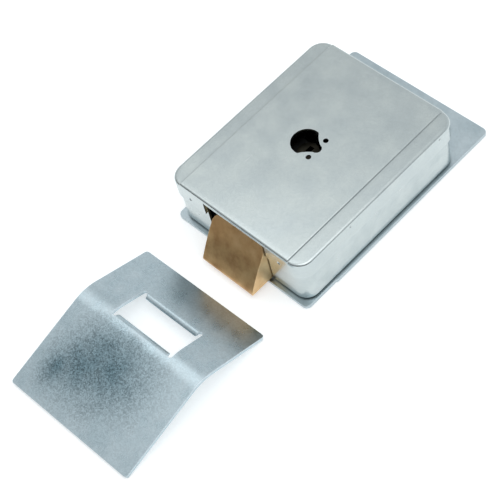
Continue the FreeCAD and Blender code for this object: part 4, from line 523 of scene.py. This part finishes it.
cover = {
    "halfWidth": 44.5, "front": -65.05, "rear": 44.95, "corner": 8.4, "bend": 1.5, "foot": 22, "down": True,
    "rows": 48, "cornerSteps": 10, "bendSteps": 5, "wallShares": (0.0843, 0.35, 0.7, 1),
    "top": 33, "strip": 32.2, "creaseFrom": 35.25, "creaseTo": 36.05, "creaseSteep": 0.97,
    "dish": {"depth": 0.06, "reach": 54, "waver": 0.4, "waveX": 0.11, "shift": 0.7, "waveY": 0.085},
    "sheet": 1, "edge": 0.14, "notch": (-19.8, 21.0), "notchRoof": 2.3, "notchReach": 0.2,
    "hole": {"x": -4, "y": -9.05, "radius": 7.8, "shoulder": 1.25, "leg": 6.9, "legRadius": 2.6,
             "waist": 0.35, "waistWay": (-0.6, 0.8), "flankSteps": 8},
    "screwHoles": {"reach": 7.3, "spread": 12.3, "radius": 1.4},
    "endStakes": {"radius": 1.1, "depth": 0.5, "spread": 59.2, "level": 25.6},
    "sideStakes": {"radius": 0.7, "depth": 0.4, "places": (-31.55, 31.85), "level": 29.8},
}


def coverLevel(x, y):  # strips along the sides, a steep crease, and the raised panel with its slight dish
    across = abs(x)
    if across >= cover["creaseTo"]:
        return cover["strip"]
    if across > cover["creaseFrom"]:
        share = (across - cover["creaseFrom"]) / (cover["creaseTo"] - cover["creaseFrom"])
        steep = cover["creaseSteep"]
        fall = (1 - math.sqrt(1 - (steep * share) ** 2)) / (1 - math.sqrt(1 - steep ** 2))
        return cover["top"] - (cover["top"] - cover["strip"]) * fall
    dish, middle = cover["dish"], (cover["front"] + cover["rear"]) / 2
    inside = max(0, 1 - (across / cover["creaseFrom"]) ** 4)
    inside *= max(0, 1 - (abs(y - middle) / dish["reach"]) ** 4)
    wave = math.sin(x * dish["waveX"] + dish["shift"]) * math.cos(y * dish["waveY"])
    return cover["top"] - dish["depth"] * inside * (1 - dish["waver"] + dish["waver"] * wave)


def keyhole(hole, steps=30):  # round end, slightly waisted flanks and narrow end
    x, y, radius, leg = hole["x"], hole["y"], hole["radius"], hole["leg"]
    shoulder = math.degrees(math.acos(hole["shoulder"] / radius))
    outline = arc(x, y, radius, shoulder, 360 - shoulder, steps)
    start, end = outline[-1], (x + leg, y - hole["legRadius"])
    flank = []
    for k in range(1, hole["flankSteps"]):
        share = k / hole["flankSteps"]
        bow = hole["waist"] * math.sin(math.pi * share)
        flank.append([a * (1 - share) + b * share + bow * way
                      for a, b, way in zip(start, end, hole["waistWay"])])
    upper = [(px, 2 * y - py) for px, py in reversed(flank)]
    return outline + flank + arc(x + leg, y, hole["legRadius"], -90, 90, 12) + upper


notchLeft, notchRight = cover["notch"]
coverStations = sorted(set(
    [x * side for side in (-1, 1) for x in spaced(cover["creaseFrom"], cover["creaseTo"], 10)]
    + spaced(-cover["creaseFrom"], notchLeft, 5) + spaced(notchLeft, notchRight, 16)
    + spaced(notchRight, cover["creaseFrom"], 6)))


def insideNotch(x, y, z):
    ahead = y < cover["front"] + cover["notchReach"]
    return ahead and notchLeft < x < notchRight and z < cover["top"] - cover["notchRoof"]


lid = panSheet("coverPressing", cover, coverStations, coverLevel, insideNotch)
softEdges(thicken(lid, cover["sheet"]), cover["edge"], angle=60)
hole, screws = cover["hole"], cover["screwHoles"]
through = (cover["top"] - 4, cover["top"] + 2)
cutAway(lid, prism(keyhole(hole), *through), *[
    prism(ring(hole["x"] + screws["reach"], hole["y"] + sign * screws["spread"] / 2, screws["radius"], 28),
          *through) for sign in (-1, 1)])


def stakeBall(stake):  # radius of the punch that leaves a dimple of this radius and depth
    return (stake["radius"] ** 2 + stake["depth"] ** 2) / (2 * stake["depth"])


def punch(stake, place):
    return turned("cutter", arc(0, 0, stakeBall(stake), -90, 90, 24), 32, place)


ends, sides = cover["endStakes"], cover["sideStakes"]
endOut, sideOut = stakeBall(ends) - ends["depth"], stakeBall(sides) - sides["depth"]
cutAway(lid, *[punch(ends, (sign * ends["spread"] / 2, face + way * endOut, ends["level"]))
               for sign in (-1, 1) for face, way in ((cover["front"], -1), (cover["rear"], 1))])
cutAway(lid, *[punch(sides, (sign * (cover["halfWidth"] + sideOut), y, sides["level"]))
               for sign in (-1, 1) for y in sides["places"]])
shade(lid)
finish(lid, coverZinc, "lock_case", "cover_steel", "case_cover")

print("cover: pressed")


# case tray

tray = {
    "halfWidth": 43.4, "front": -63.95, "rear": 43.85, "corner": 7.3, "bend": 1.5, "foot": 31.1,
    "down": False, "rows": 30, "cornerSteps": 8, "bendSteps": 6, "wallShares": (0.3, 0.65, 1),
    "floor": 2, "sheet": 1.2, "edge": 0.15, "window": (-19.2, 20.6),
    "inlet": {"x": -10, "z": 14.5, "radius": 5}, "bushSeat": {"x": -4, "y": -9.05, "radius": 6.05},
}
straight = tray["halfWidth"] - tray["corner"]
case = panSheet("caseTray", tray, spaced(-straight, straight, 24), lambda x, y: tray["floor"])
softEdges(thicken(case, tray["sheet"]), tray["edge"], angle=60)
seat, inlet = tray["bushSeat"], tray["inlet"]
cutAway(case,
        box((tray["window"][0], tray["front"] - 2, tray["floor"] + tray["sheet"]),
            (tray["window"][1], tray["front"] + 4, tray["foot"] + 2)),
        prism(ring(seat["x"], seat["y"], seat["radius"]), tray["floor"] - 1, tray["floor"] + 3),
        turned("cutter", [(0, -3), (inlet["radius"], -3), (inlet["radius"], 3), (0, 3)], 36,
               (inlet["x"], tray["rear"], inlet["z"]), "Y"))
shade(case)
finish(case, caseZinc, "lock_case", "case_steel", "case_body")

print("case: drawn")


# mounting plate

plate = {
    "halfWidth": 45.0, "halfLength": 66.25, "thick": 2, "corner": 3, "step": 0.6, "stepFrom": 20.6,
    "stepEase": 0.3, "edge": 0.3, "neck": {"x": -4, "y": -9.05, "radius": 8},
}


def plateOutline():  # a little narrower at the front than beside the case
    half, reach, corner, step = plate["halfWidth"], plate["halfLength"], plate["corner"], plate["step"]
    stepLine = -reach + plate["stepFrom"]
    right = arc(half - step - corner, -reach + corner, corner, -90, 0, 8)
    right += [(half - step, stepLine - plate["stepEase"]), (half, stepLine + plate["stepEase"])]
    right += arc(half - corner, reach - corner, corner, 0, 90, 8)
    return right + [(-x, y) for x, y in reversed(right)]


base = prism(plateOutline(), 0, plate["thick"], name="mountingSheet")
softEdges(base, plate["edge"], 3, 50)
neck = plate["neck"]
cutAway(base, prism(ring(neck["x"], neck["y"], neck["radius"], 48), -1, 4))
shade(base)
finish(base, plateZinc, "lock_case", "plate_steel", "mounting_plate")

print("mounting plate: sheared")


# strike plate, bent like a low roof

strike = {
    "halfWidth": 39.75, "near": 53.8, "far": 38.4, "height": 16.5, "sheet": 2, "bendRadius": 21,
    "bendSteps": 16, "leastRow": 0.4, "left": -19.6, "right": 20.2, "start": -0.1, "end": 18,
    "relief": 1.4, "reliefRoom": 0.02, "lipRadius": 2.6, "lipSheet": 1.5, "lipTurn": 80, "lipSteps": 9,
    "lipEase": 0.25, "footing": 0.5, "corner": 1.5, "cornerReach": 1.2, "edge": 0.45,
    "bendLine": -128.85, "turn": 1.2,
}


def strikeLine():  # upper side of the section, as rows of (y, z) from the near edge to the far edge
    near, far, height, sheet, radius = (
        strike[name] for name in ("near", "far", "height", "sheet", "bendRadius"))
    rise, fall = [math.atan((height - sheet / math.cos(math.atan((height - sheet) / reach))) / reach)
                  for reach in (near, far)]
    leg = radius * math.tan((rise + fall) / 2)
    middle = (radius * math.sin(rise) - leg * math.cos(rise),
              height - leg * math.sin(rise) - radius * math.cos(rise))
    bendStart, bendEnd = middle[0] - radius * math.sin(rise), middle[0] + radius * math.sin(fall)

    def level(y):
        if y < bendStart:
            return height + y * math.tan(rise)
        if y > bendEnd:
            return height - y * math.tan(fall)
        return middle[1] + math.sqrt(radius ** 2 - (y - middle[0]) ** 2)

    marks = spaced(-near, bendStart, 18)
    marks += [middle[0] - radius * math.sin(rise - (rise + fall) * k / strike["bendSteps"])
              for k in range(1, strike["bendSteps"] + 1)]
    marks += spaced(bendEnd, far, 14)
    roots = (strike["start"] - strike["relief"], strike["end"] + strike["relief"])
    fixed = [roots[0], strike["start"], strike["end"], roots[1]]
    free = [y for y in marks if min(abs(y - place) for place in fixed) > strike["leastRow"]]
    marks = sorted(fixed + free)
    slopes = (-math.asin((roots[0] - middle[0]) / radius), -fall)
    return [(y, level(y)) for y in marks], roots, slopes


def strikeSheet():  # one surface with the slot left open, and the two lips rolled down into it
    line, roots, slopes = strikeLine()
    left, right, width = strike["left"], strike["right"], 2 * strike["relief"]
    lip = (left + width, right - width)
    stations = sorted(set(
        spaced(-strike["halfWidth"], left, 8) + spaced(lip[0], lip[1], 14)
        + spaced(right, strike["halfWidth"], 7)))
    tall = len(line)
    points = [(x, y, z) for x in stations for y, z in line]
    faces = []
    for c in range(len(stations) - 1):
        x = (stations[c] + stations[c + 1]) / 2
        for r in range(tall - 1):
            y = (line[r][0] + line[r + 1][0]) / 2
            if left < x < right and strike["start"] < y < strike["end"]:
                continue
            if lip[0] < x < lip[1] and roots[0] < y < roots[1]:
                continue
            faces.append((c * tall + r, (c + 1) * tall + r, (c + 1) * tall + r + 1, c * tall + r + 1))
    inLip = [c for c, x in enumerate(stations) if lip[0] - 0.01 <= x <= lip[1] + 0.01]
    thin = len(points)
    for root, slope, way in zip(roots, slopes, (1, -1)):
        row = [y for y, z in line].index(root)
        normal = (-math.sin(slope), math.cos(slope))
        along = (math.cos(slope) * way, math.sin(slope) * way)
        centre = [line[row][axis] - normal[axis] * strike["lipRadius"] for axis in (0, 1)]
        before = {c: c * tall + row for c in inLip}
        for k in range(1, strike["lipSteps"] + 1):
            angle = math.radians(strike["lipTurn"]) * k / strike["lipSteps"]
            y, z = [centre[axis] + strike["lipRadius"] * (
                normal[axis] * math.cos(angle) + along[axis] * math.sin(angle)) for axis in (0, 1)]
            after = {}
            for c in inLip:
                after[c] = len(points)
                ends = strike["lipEase"] * (k / strike["lipSteps"]) ** 2
                ease = ends if c == inLip[0] else -ends if c == inLip[-1] else 0
                points.append((stations[c] + ease, y, z))
            for a, b in zip(inLip, inLip[1:]):
                quad = (before[a], before[b], after[b], after[a])
                faces.append(quad if way == 1 else quad[::-1])
            before = after
    piece = newPiece("strikeRoof", points, faces)
    weights = piece.vertex_groups.new(name="sheet")
    weights.add(range(thin), 1.0, "REPLACE")
    weights.add(range(thin, len(points)), strike["lipSheet"] / strike["sheet"], "REPLACE")
    return piece


def endCorner(edge):  # an upright edge at one side of the near or the far end
    (x, y, z), (otherX, otherY, otherZ) = [vert.co / mm for vert in edge.verts]
    beside = abs(abs(x) - strike["halfWidth"]) < 0.01 and abs(x - otherX) < 0.001
    reach = strike["cornerReach"]
    atEnd = max(y, otherY) < reach - strike["near"] or min(y, otherY) > strike["far"] - reach
    return beside and atEnd and abs(z - otherZ) > reach


strikePiece = thicken(strikeSheet(), strike["sheet"], "sheet")
reliefHole = strike["relief"] - strike["reliefRoom"]
cutAway(strikePiece, *[prism(ring(x, y, reliefHole, 28), 5, strike["height"] + 3)
                       for x in (strike["left"] + strike["relief"], strike["right"] - strike["relief"])
                       for y in (strike["start"], strike["end"])])
turnStrike = Matrix.Translation((0, strike["bendLine"] * mm, 0)) @ Matrix.Rotation(
    math.radians(strike["turn"]), 4, "Z")
with editing(strikePiece.data) as work:
    for vert in work.verts:  # the sheared ends stand on the floor
        if vert.co.z < strike["footing"] * mm:
            vert.co.z = 0
    corners = [edge for edge in work.edges if endCorner(edge)]
    bmesh.ops.bevel(
        work, geom=corners, offset=strike["corner"] * mm, segments=4, profile=0.5, affect="EDGES")
    bmesh.ops.transform(work, matrix=turnStrike, verts=work.verts)
softEdges(strikePiece, strike["edge"], 2, 50)
shade(strikePiece)
finish(strikePiece, strikeZinc, "lock_case", "strike_steel", "strike_plate")

print("strike plate: bent, corners found:", len(corners))


# latch bolt

bolt = {
    "left": -13.8, "right": 20.0, "under": 3.5, "top": 27.5, "tip": -77.75, "back": -37.35,
    "bevelTop": -63.65, "nose": 1.6, "crown": 0.7, "upperRound": 4, "sideRound": 1.5, "edge": 0.45,
    "springs": {"spread": 19, "middle": 3.1, "line": 15.5, "radius": 4.7, "depth": 16},
    "tailSlot": {"left": 6.9, "right": 16.1, "top": 6.5, "depth": 14},
}


def boltCasting():
    left, right, under, top = bolt["left"], bolt["right"], bolt["under"], bolt["top"]
    r = bolt["upperRound"]
    section = [(left, under), (right, under)]
    section += arc(right - r, top - r, r, 0, 90, 10) + arc(left + r, top - r, r, 90, 180, 10)
    casting = tidy(prism([(z, x) for x, z in section], bolt["tip"], bolt["back"], "Y", "latchBolt"))
    low, high = (bolt["tip"], under + bolt["nose"]), (bolt["bevelTop"], top)
    length = math.dist(low, high)
    normal = ((low[1] - high[1]) / length, (high[0] - low[0]) / length)
    bevel = []
    for share in spaced(0, 1, 12):
        bow = bolt["crown"] * 4 * share * (1 - share)
        bevel.append([a + (b - a) * share + way * bow for a, b, way in zip(low, high, normal)])
    wedge = [(low[0] - 5, low[1]), *bevel, (high[0], top + 5), (low[0] - 5, top + 5)]
    return cutAway(casting, tidy(prism(wedge, left - 5, right + 5, "X")))


def roundBevelSides(piece):  # the two long sides of the bevel are fettled rounder than the other edges
    edges = []
    with editing(piece.data) as work:
        for edge in work.edges:
            if len(edge.link_faces) != 2 or edge.calc_face_angle(0) < math.radians(35):
                continue
            xs, ys, zs = zip(*[vert.co / mm for vert in edge.verts])
            ahead = max(ys) < bolt["bevelTop"] + 0.01
            above = min(zs) > bolt["under"] + 0.1
            outer = all(min(abs(x - bolt["left"]), abs(x - bolt["right"])) < bolt["upperRound"] for x in xs)
            if ahead and above and outer and abs(zs[0] - zs[1]) > 0.1:
                edges.append(edge)
        bmesh.ops.bevel(work, geom=edges, offset=bolt["sideRound"] * mm, segments=4, profile=0.5,
                        affect="EDGES", clamp_overlap=True)
    return len(edges)


casting = boltCasting()
sideCount = roundBevelSides(casting)
softEdges(casting, bolt["edge"], 3, 28)
pocket, slotCut = bolt["springs"], bolt["tailSlot"]
drill = [(0, -pocket["depth"]), (pocket["radius"], -pocket["depth"]), (pocket["radius"], 3), (0, 3)]
cutAway(casting, *[
    tidy(turned("cutter", drill, 36, (pocket["middle"] + side, bolt["back"], pocket["line"]), "Y"))
    for side in (-pocket["spread"] / 2, pocket["spread"] / 2)],
        box((slotCut["left"], bolt["back"] - slotCut["depth"], bolt["under"] - 1),
            (slotCut["right"], bolt["back"] + 2, slotCut["top"])))
shade(casting, 30)
finish(casting, boltBrass, "bolt", "bolt_brass", "latch_bolt")

print("bolt: cast, bevel edges rounded:", sideCount)


# bolt springs: wire on a helix whose end turns lie close

spring = {
    "radius": 3.4, "wire": 1.0, "turns": 8, "endPitch": 1.6, "start": -52.65, "end": -23.55, "line": 15.5,
    "places": (-6.4, 12.6), "stepsPerTurn": 26, "sides": 10, "squashed": 0.56, "fixedEnd": -23.05,
}


def springPath(x):
    length = spring["end"] - spring["start"]
    turns = spring["turns"]
    openPitch = (length - 2 * spring["endPitch"]) / (turns - 2)
    path = []
    for k in range(turns * spring["stepsPerTurn"] + 1):
        turn = k / spring["stepsPerTurn"]
        along = spring["endPitch"] * min(turn, 1) + openPitch * min(max(turn - 1, 0), turns - 2)
        along += spring["endPitch"] * max(turn - (turns - 1), 0)
        angle = 2 * math.pi * turn
        path.append((x + spring["radius"] * math.cos(angle), spring["start"] + along,
                     spring["line"] + spring["radius"] * math.sin(angle)))
    return path


def startTree(name, result, **inputs):  # Geometry Nodes: a group with these inputs and one result
    tree = bpy.data.node_groups.new(name, "GeometryNodeTree")
    for title, kind in inputs.items():
        tree.interface.new_socket(title, in_out="INPUT", socket_type="NodeSocket" + kind)
    tree.interface.new_socket(result, in_out="OUTPUT", socket_type="NodeSocketGeometry")
    add = partial(addNode, tree)
    return tree, add, add("NodeGroupInput").outputs


def endTree(add, shape, material):  # the shape is made real, takes its material and leaves the group
    real = add("GeometryNodeRealizeInstances", {"Geometry": shape})
    painted = add("GeometryNodeSetMaterial", {"Geometry": real, "Material": material})
    add("NodeGroupOutput", {0: painted})


def wireTree():  # a round wire along any path
    tree, add, given = startTree("roundWire", "Wire", Path="Geometry", Radius="Float", Sides="Int",
                                 Finish="Material")
    curve = add("GeometryNodeMeshToCurve", {"Mesh": given["Path"]})
    section = add("GeometryNodeCurvePrimitiveCircle", {
        "Radius": given["Radius"], "Resolution": given["Sides"]})
    tube = add("GeometryNodeCurveToMesh", {"Curve": curve, "Profile Curve": section, "Fill Caps": True})
    endTree(add, tube, given["Finish"])
    return tree


def runTree(piece, tree, **values):  # inputs are set by identifier, then the result becomes a plain mesh
    modifier = piece.modifiers.new(tree.name, "NODES")
    modifier.node_group = tree
    for item in tree.interface.items_tree:
        if item.item_type == "SOCKET" and item.in_out == "INPUT" and item.name in values:
            modifier[item.identifier] = values[item.name]
    return settle(piece)


roundWire = wireTree()


def wirePiece(name, path, radius, sides, material):
    piece = newPiece(name, path, edges=[(k, k + 1) for k in range(len(path) - 1)])
    runTree(piece, roundWire, Radius=radius * mm, Sides=sides, Finish=material)
    tidy(piece, 0.0001)
    return shade(piece, 50)


for hand, x in zip(("Left", "Right"), spring["places"]):
    coil = wirePiece("boltSpring" + hand, springPath(x), spring["wire"] / 2, spring["sides"], springSteel)
    finish(coil, springSteel, "lock_case", "spring_steel", "bolt_spring_" + hand.lower())
    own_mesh(coil)

print("springs: wound")


# coil winding: the outer layer of wire over the layers below

winding = {"tube": 6.5, "wire": 0.42, "stepsPerTurn": 32, "sides": 6}
low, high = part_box("coil_winding")
axisX, axisZ = (low.x + high.x) / 2 / mm, (low.z + high.z) / 2 / mm
front, rear = low.y / mm, high.y / mm
tube, wire, steps = winding["tube"], winding["wire"], winding["stepsPerTurn"]
layer = (high.x - low.x) / 2 / mm - wire / 2
turnCount = int((rear - front - wire) / wire)
helix = [(axisX + layer * math.cos(2 * math.pi * k / steps), front + wire * (0.5 + k / steps),
          axisZ + layer * math.sin(2 * math.pi * k / steps)) for k in range(turnCount * steps + 1)]
wound = wirePiece("coilOuterLayer", helix, wire / 2, winding["sides"], windingCopper)
section = [(tube, front), (layer, front), (layer, rear), (tube, rear), (tube, front)]
body = tidy(turned("coilInnerLayers", section, 48, (axisX, 0, axisZ), "Y"))
shade(body)
finish(body, windingCopper, "lock_case", "winding_copper", "coil_winding")
finish(wound, windingCopper, "lock_case", "winding_copper", "coil_winding")

print("winding: laid,", turnCount, "turns")


# rivets and screws: one tree sets a turned form on every point

def fastenerTree():
    tree, add, given = startTree("fastenerRow", "Fasteners", Places="Geometry", Form="Object", Seed="Int",
                                 Finish="Material")
    form = add("GeometryNodeObjectInfo", {"Object": given["Form"]})
    angle = add("FunctionNodeRandomValue", {3: 2 * math.pi, "Seed": given["Seed"]}, data_type="FLOAT")
    upright = add("ShaderNodeCombineXYZ", {"Z": angle.outputs[1]})
    placed = add("GeometryNodeInstanceOnPoints", {
        "Points": given["Places"], "Instance": form.outputs["Geometry"], "Rotation": upright})
    endTree(add, placed, given["Finish"])
    return tree


fastenerRow = fastenerTree()


def islands(node):  # the middle of each separate solid of a CAD node, and its lowest and highest level
    source = bmesh.new()
    source.from_mesh(cadNodes[node].data)
    bmesh.ops.remove_doubles(source, verts=source.verts, dist=0.001 * mm)
    left, found = set(source.verts), []
    while left:
        island, waiting = set(), [left.pop()]
        while waiting:
            vert = waiting.pop()
            island.add(vert)
            for edge in vert.link_edges:
                other = edge.other_vert(vert)
                if other in left:
                    left.discard(other)
                    waiting.append(other)
        xs, ys, zs = ([v.co[axis] / mm for v in island] for axis in range(3))
        found.append(((min(xs) + max(xs)) / 2, (min(ys) + max(ys)) / 2, min(zs), max(zs)))
    source.free()
    return sorted(found)


rivet = {"shank": 1.5, "head": 2.4, "crown": 1.2, "sink": 0.9, "joint": 0.01}
stud = {"radius": 2, "chamfer": 0.15}
clamp = {"radius": 1.9, "top": 1.7, "chamfer": 0.2}
holder = {"shank": 1.5, "head": ((2.8, 1.5), (2.75, 0.9), (2.3, 0.2), (1.6, 0))}  # rows of radius and depth
driver = {"slot": 0.7, "reach": 4}


def formOf(profile):
    return tidy(turned("form", profile, 28))


def slotted(form, low, high):  # driver slot across the head, between two levels
    reach, half = driver["reach"], driver["slot"] / 2
    return shade(cutAway(form, box((-reach, -half, low), (reach, half, high))))


def rivetForm(height):  # flush below, domed above, measured from its foot
    brim = height - rivet["crown"]
    dome = [(rivet["head"] * x, brim + rivet["crown"] * y) for x, y in arc(0, 0, 1, 0, 90, 6)[:-1]]
    return shade(formOf([(0, 0), (rivet["head"], 0), (rivet["shank"], rivet["sink"]),
                         (rivet["shank"], brim - rivet["joint"]), *dome, (0, height)]), 40)


def studForm(height):  # plain rod, chamfered at both ends
    radius, chamfer = stud["radius"], stud["chamfer"]
    return shade(formOf([(0, 0), (radius - chamfer, 0), (radius, chamfer), (radius, height - chamfer),
                         (radius - chamfer, height), (0, height)]), 40)


def yokeForm(height):  # countersunk head below, with its slot
    form = formOf([(0, 0), (rivet["head"], 0), (rivet["shank"], rivet["sink"]), (rivet["shank"], height),
                   (0, height)])
    return slotted(form, -1, driver["slot"])


def clampForm(height):  # headless, chamfered at the top
    form = formOf([(0, 0), (clamp["radius"], 0), (clamp["radius"], height - clamp["chamfer"]),
                   (clamp["top"], height), (0, height)])
    return slotted(form, height - driver["slot"], height + 2)


def holderForm(height):  # pan head
    rows = [(radius, height - depth) for radius, depth in holder["head"]]
    form = formOf([(0, 0), (holder["shank"], 0), (holder["shank"], rows[0][1]), *rows, (0, height)])
    return slotted(form, height - driver["slot"], height + 2)


fasteners = (
    ("trayRivets", "case_rivets", rivetForm, rivetSteel, "lock_case", "rivet_steel", 0),
    ("guideRivets", "guide_rivets", rivetForm, rivetSteel, "lock_case", "rivet_steel", 1),
    ("bracketRivets", "bracket_rivets", rivetForm, rivetSteel, "lock_case", "rivet_steel", 2),
    ("tailRivets", "bolt_tail_rivets", studForm, rivetSteel, "bolt", "rivet_steel", 4),
    ("yokeScrews", "yoke_screws", yokeForm, screwSteel, "lock_case", "screw_steel", 5),
    ("terminalScrews", "terminal_screws", clampForm, screwSteel, "lock_case", "screw_steel", 6),
    ("blockScrew", "terminal_block_screw", holderForm, screwSteel, "lock_case", "screw_steel", 7),
)
for name, node, makeForm, material, bodyName, slotName, seed in fasteners:
    middles = islands(node)
    form = makeForm(middles[0][3] - middles[0][2])
    piece = newPiece(name, [(x, y, low) for x, y, low, high in middles])
    runTree(piece, fastenerRow, Form=form, Seed=seed, Finish=material)
    bpy.data.objects.remove(form)
    finish(piece, material, bodyName, slotName, node)

print("fasteners: set")


# inner pieces: the solid's own form with its edges broken as a tool or a mould leaves them

def broken(name, node, edge, material, body, slot):
    piece = tidy(newObject(name, cadNodes[node].data.copy()), 0.002, flat=1)
    if edge:
        softEdges(piece, edge, 2, 35)
    shade(piece)
    return finish(piece, material, body, slot, node)


innerPieces = (
    ("guideBridge", "bolt_guide", 0.15, bracketSteel, "lock_case", "bracket_steel"),
    ("mechanismBracket", "mechanism_bracket", 0.15, bracketSteel, "lock_case", "bracket_steel"),
    ("springRods", "spring_guide_rods", 0, pinSteel, "lock_case", "pin_steel"),
    ("boltTail", "bolt_tail", 0.15, tailZinc, "bolt", "tail_steel"),
    ("followerBush", "follower_bush", 0.12, bushBronze, "lock_case", "bush_brass"),
    ("keyFollower", "key_follower", 0.15, followerSteel, "follower", "follower_steel"),
    ("retractorLever", "retractor_lever", 0.2, tailZinc, "lever", "lever_steel"),
    ("leverPivot", "lever_pivot_pin", 0, pinSteel, "lock_case", "pin_steel"),
    ("leverClip", "lever_clip", 0.1, springSteel, "lock_case", "spring_steel"),
    ("coilPlunger", "solenoid_plunger", 0.2, plungerNickel, "plunger", "plunger_nickel"),
    ("plungerCrossPin", "plunger_cross_pin", 0, pinSteel, "plunger", "pin_steel"),
    ("magnetYoke", "solenoid_yoke", 0.2, yokeIron, "lock_case", "yoke_steel"),
    ("coilBobbin", "coil_bobbin", 0.15, bobbinNylon, "lock_case", "bobbin_plastic"),
    ("fixedCore", "solenoid_core", 0.15, yokeIron, "lock_case", "yoke_steel"),
    ("terminalBlock", "terminal_block", 0.15, terminalPlastic, "lock_case", "terminal_plastic"),
    ("cableGrommet", "cable_grommet", 0, grommetRubber, "lock_case", "grommet_rubber"),
)
for values in innerPieces:
    broken(*values)

print("inner pieces: finished")


# coil leads: soft sleeves that run from the bobbin to the terminal block

leads = {"levels": (11, 14), "ends": (22.95, 32.95), "start": (10.7, 17.3), "turn": (3.7, 17.3), "low": 7.2,
         "lane": -15, "clamp": -29, "radius": 0.7}


def sleeve(name, route, radius):
    curve = bpy.data.curves.new(name, "CURVE")
    curve.dimensions = "3D"
    line = curve.splines.new("NURBS")
    line.points.add(len(route) - 1)
    for point, place in zip(line.points, route):
        point.co = (*[value * mm for value in place], 1)
    line.order_u = 3
    line.use_endpoint_u = True
    line.resolution_u = 12
    curve.bevel_depth = radius * mm
    curve.bevel_resolution = 4
    curve.use_fill_caps = True
    drawn = newObject(name, curve)
    mesh = evaluated(drawn)
    bpy.data.objects.remove(drawn)
    return shade(tidy(newObject(name, mesh), 0.0001), 50)


for hand, level, end in zip(("Lower", "Upper"), leads["levels"], leads["ends"]):
    route = [(*leads["start"], level), (*leads["turn"], level), (leads["lane"], end, leads["low"]),
             (leads["clamp"], end, leads["low"])]
    lead = sleeve("coilLead" + hand, route, leads["radius"])
    finish(lead, leadPlastic, "lock_case", "lead_plastic", *(["coil_leads"] if hand == "Lower" else []))

print("leads: laid")


# floor, lights and sky

studio = {
    "floor": "#e2e5e6", "floorLight": "#e6e9ea", "floorGlow": 0.46, "floorSize": 4.0, "sky": "#f4f8fa",
    "skyLight": 0.74, "rear": {"from": 0.40, "to": 0.80, "light": 0.16},
    "band": {"side": (0.3, -0.954, 0.0), "from": -0.30, "to": 0.50, "high": 0.62, "low": 0.28, "light": 0.10},
    "lamps": {
        "softbox": {"place": (-0.39, 0.045, 1.5), "target": (-0.39, 0.045, 0), "size": (0.98, 1.41),
                    "power": 1.65},
        "topBox": {"place": (0.53, -0.05, 1.4), "target": (0, -0.05, 0), "size": (1.2, 1.3), "power": 5.6},
        "ridgeBox": {"place": (-0.88, 0.06, 1.5), "target": (0, -0.129, 0), "size": (0.9, 0.36),
                     "power": 0.75},
    },
}

half = studio["floorSize"] / 2 / mm
floorLevel = -0.05  # just under the part, in millimetres
floor = newPiece("studioFloor", [(x, y, floorLevel) for x, y in (
    (-half, -half), (half, -half), (half, half), (-half, half))], [(0, 1, 2, 3)])
paper, add, paperShader, paperPlace = newMaterial("mattPaper", Roughness=0.9)  # seamless, evenly lit
fibre = add("ShaderNodeTexNoise", {"Vector": paperPlace, "Scale": pitch(40), "Detail": 2.0})
paperColour = add("ShaderNodeValToRGB", {"Fac": fibre}, ramp=(
    (0.3, studio["floor"]), (0.7, studio["floorLight"])))
feed(paperShader, {
    "Base Color": paperColour, "Emission Color": (1, 1, 1, 1), "Emission Strength": studio["floorGlow"]})
floor.data.materials.append(paper)

world = bpy.data.worlds.new("softStudio")
bpy.context.scene.world = world
world.use_nodes = True
world.node_tree.nodes.clear()
add = partial(addNode, world.node_tree)
soft = {"interpolation_type": "SMOOTHSTEP"}
way = add("ShaderNodeTexCoord").outputs["Generated"]
parts = add("ShaderNodeSeparateXYZ", {"Vector": way}).outputs
rearWall, band = studio["rear"], studio["band"]
rear = add("ShaderNodeMapRange", {
    "Value": parts["Y"], "From Min": rearWall["from"], "From Max": rearWall["to"],
    "To Min": studio["skyLight"], "To Max": studio["skyLight"] + rearWall["light"]}, **soft)
side = add("ShaderNodeVectorMath", {0: way, 1: band["side"]}, operation="DOT_PRODUCT")
aside = add("ShaderNodeMapRange", {
    "Value": side.outputs["Value"], "From Min": band["from"], "From Max": band["to"]}, **soft)
below = add("ShaderNodeMapRange", {
    "Value": parts["Z"], "From Min": band["high"], "From Max": band["low"]}, **soft)
dimmed = add("ShaderNodeMath", {0: aside, 1: below}, operation="MULTIPLY")
light = add("ShaderNodeMix", {"Factor": dimmed, "A": rear, "B": band["light"]}, data_type="FLOAT")
backdrop = add("ShaderNodeBackground", {"Color": linear(studio["sky"]), "Strength": light})
add("ShaderNodeOutputWorld", {"Surface": backdrop})

for name, values in studio["lamps"].items():
    data = bpy.data.lights.new(name, "AREA")
    data.shape = "RECTANGLE"
    data.size, data.size_y = values["size"]
    data.energy = values["power"]
    lamp = newObject(name, data)
    lamp.location = values["place"]
    aim = Vector(values["target"]) - Vector(values["place"])
    lamp.rotation_euler = aim.to_track_quat("-Z", "Y").to_euler()

print("studio: lit")
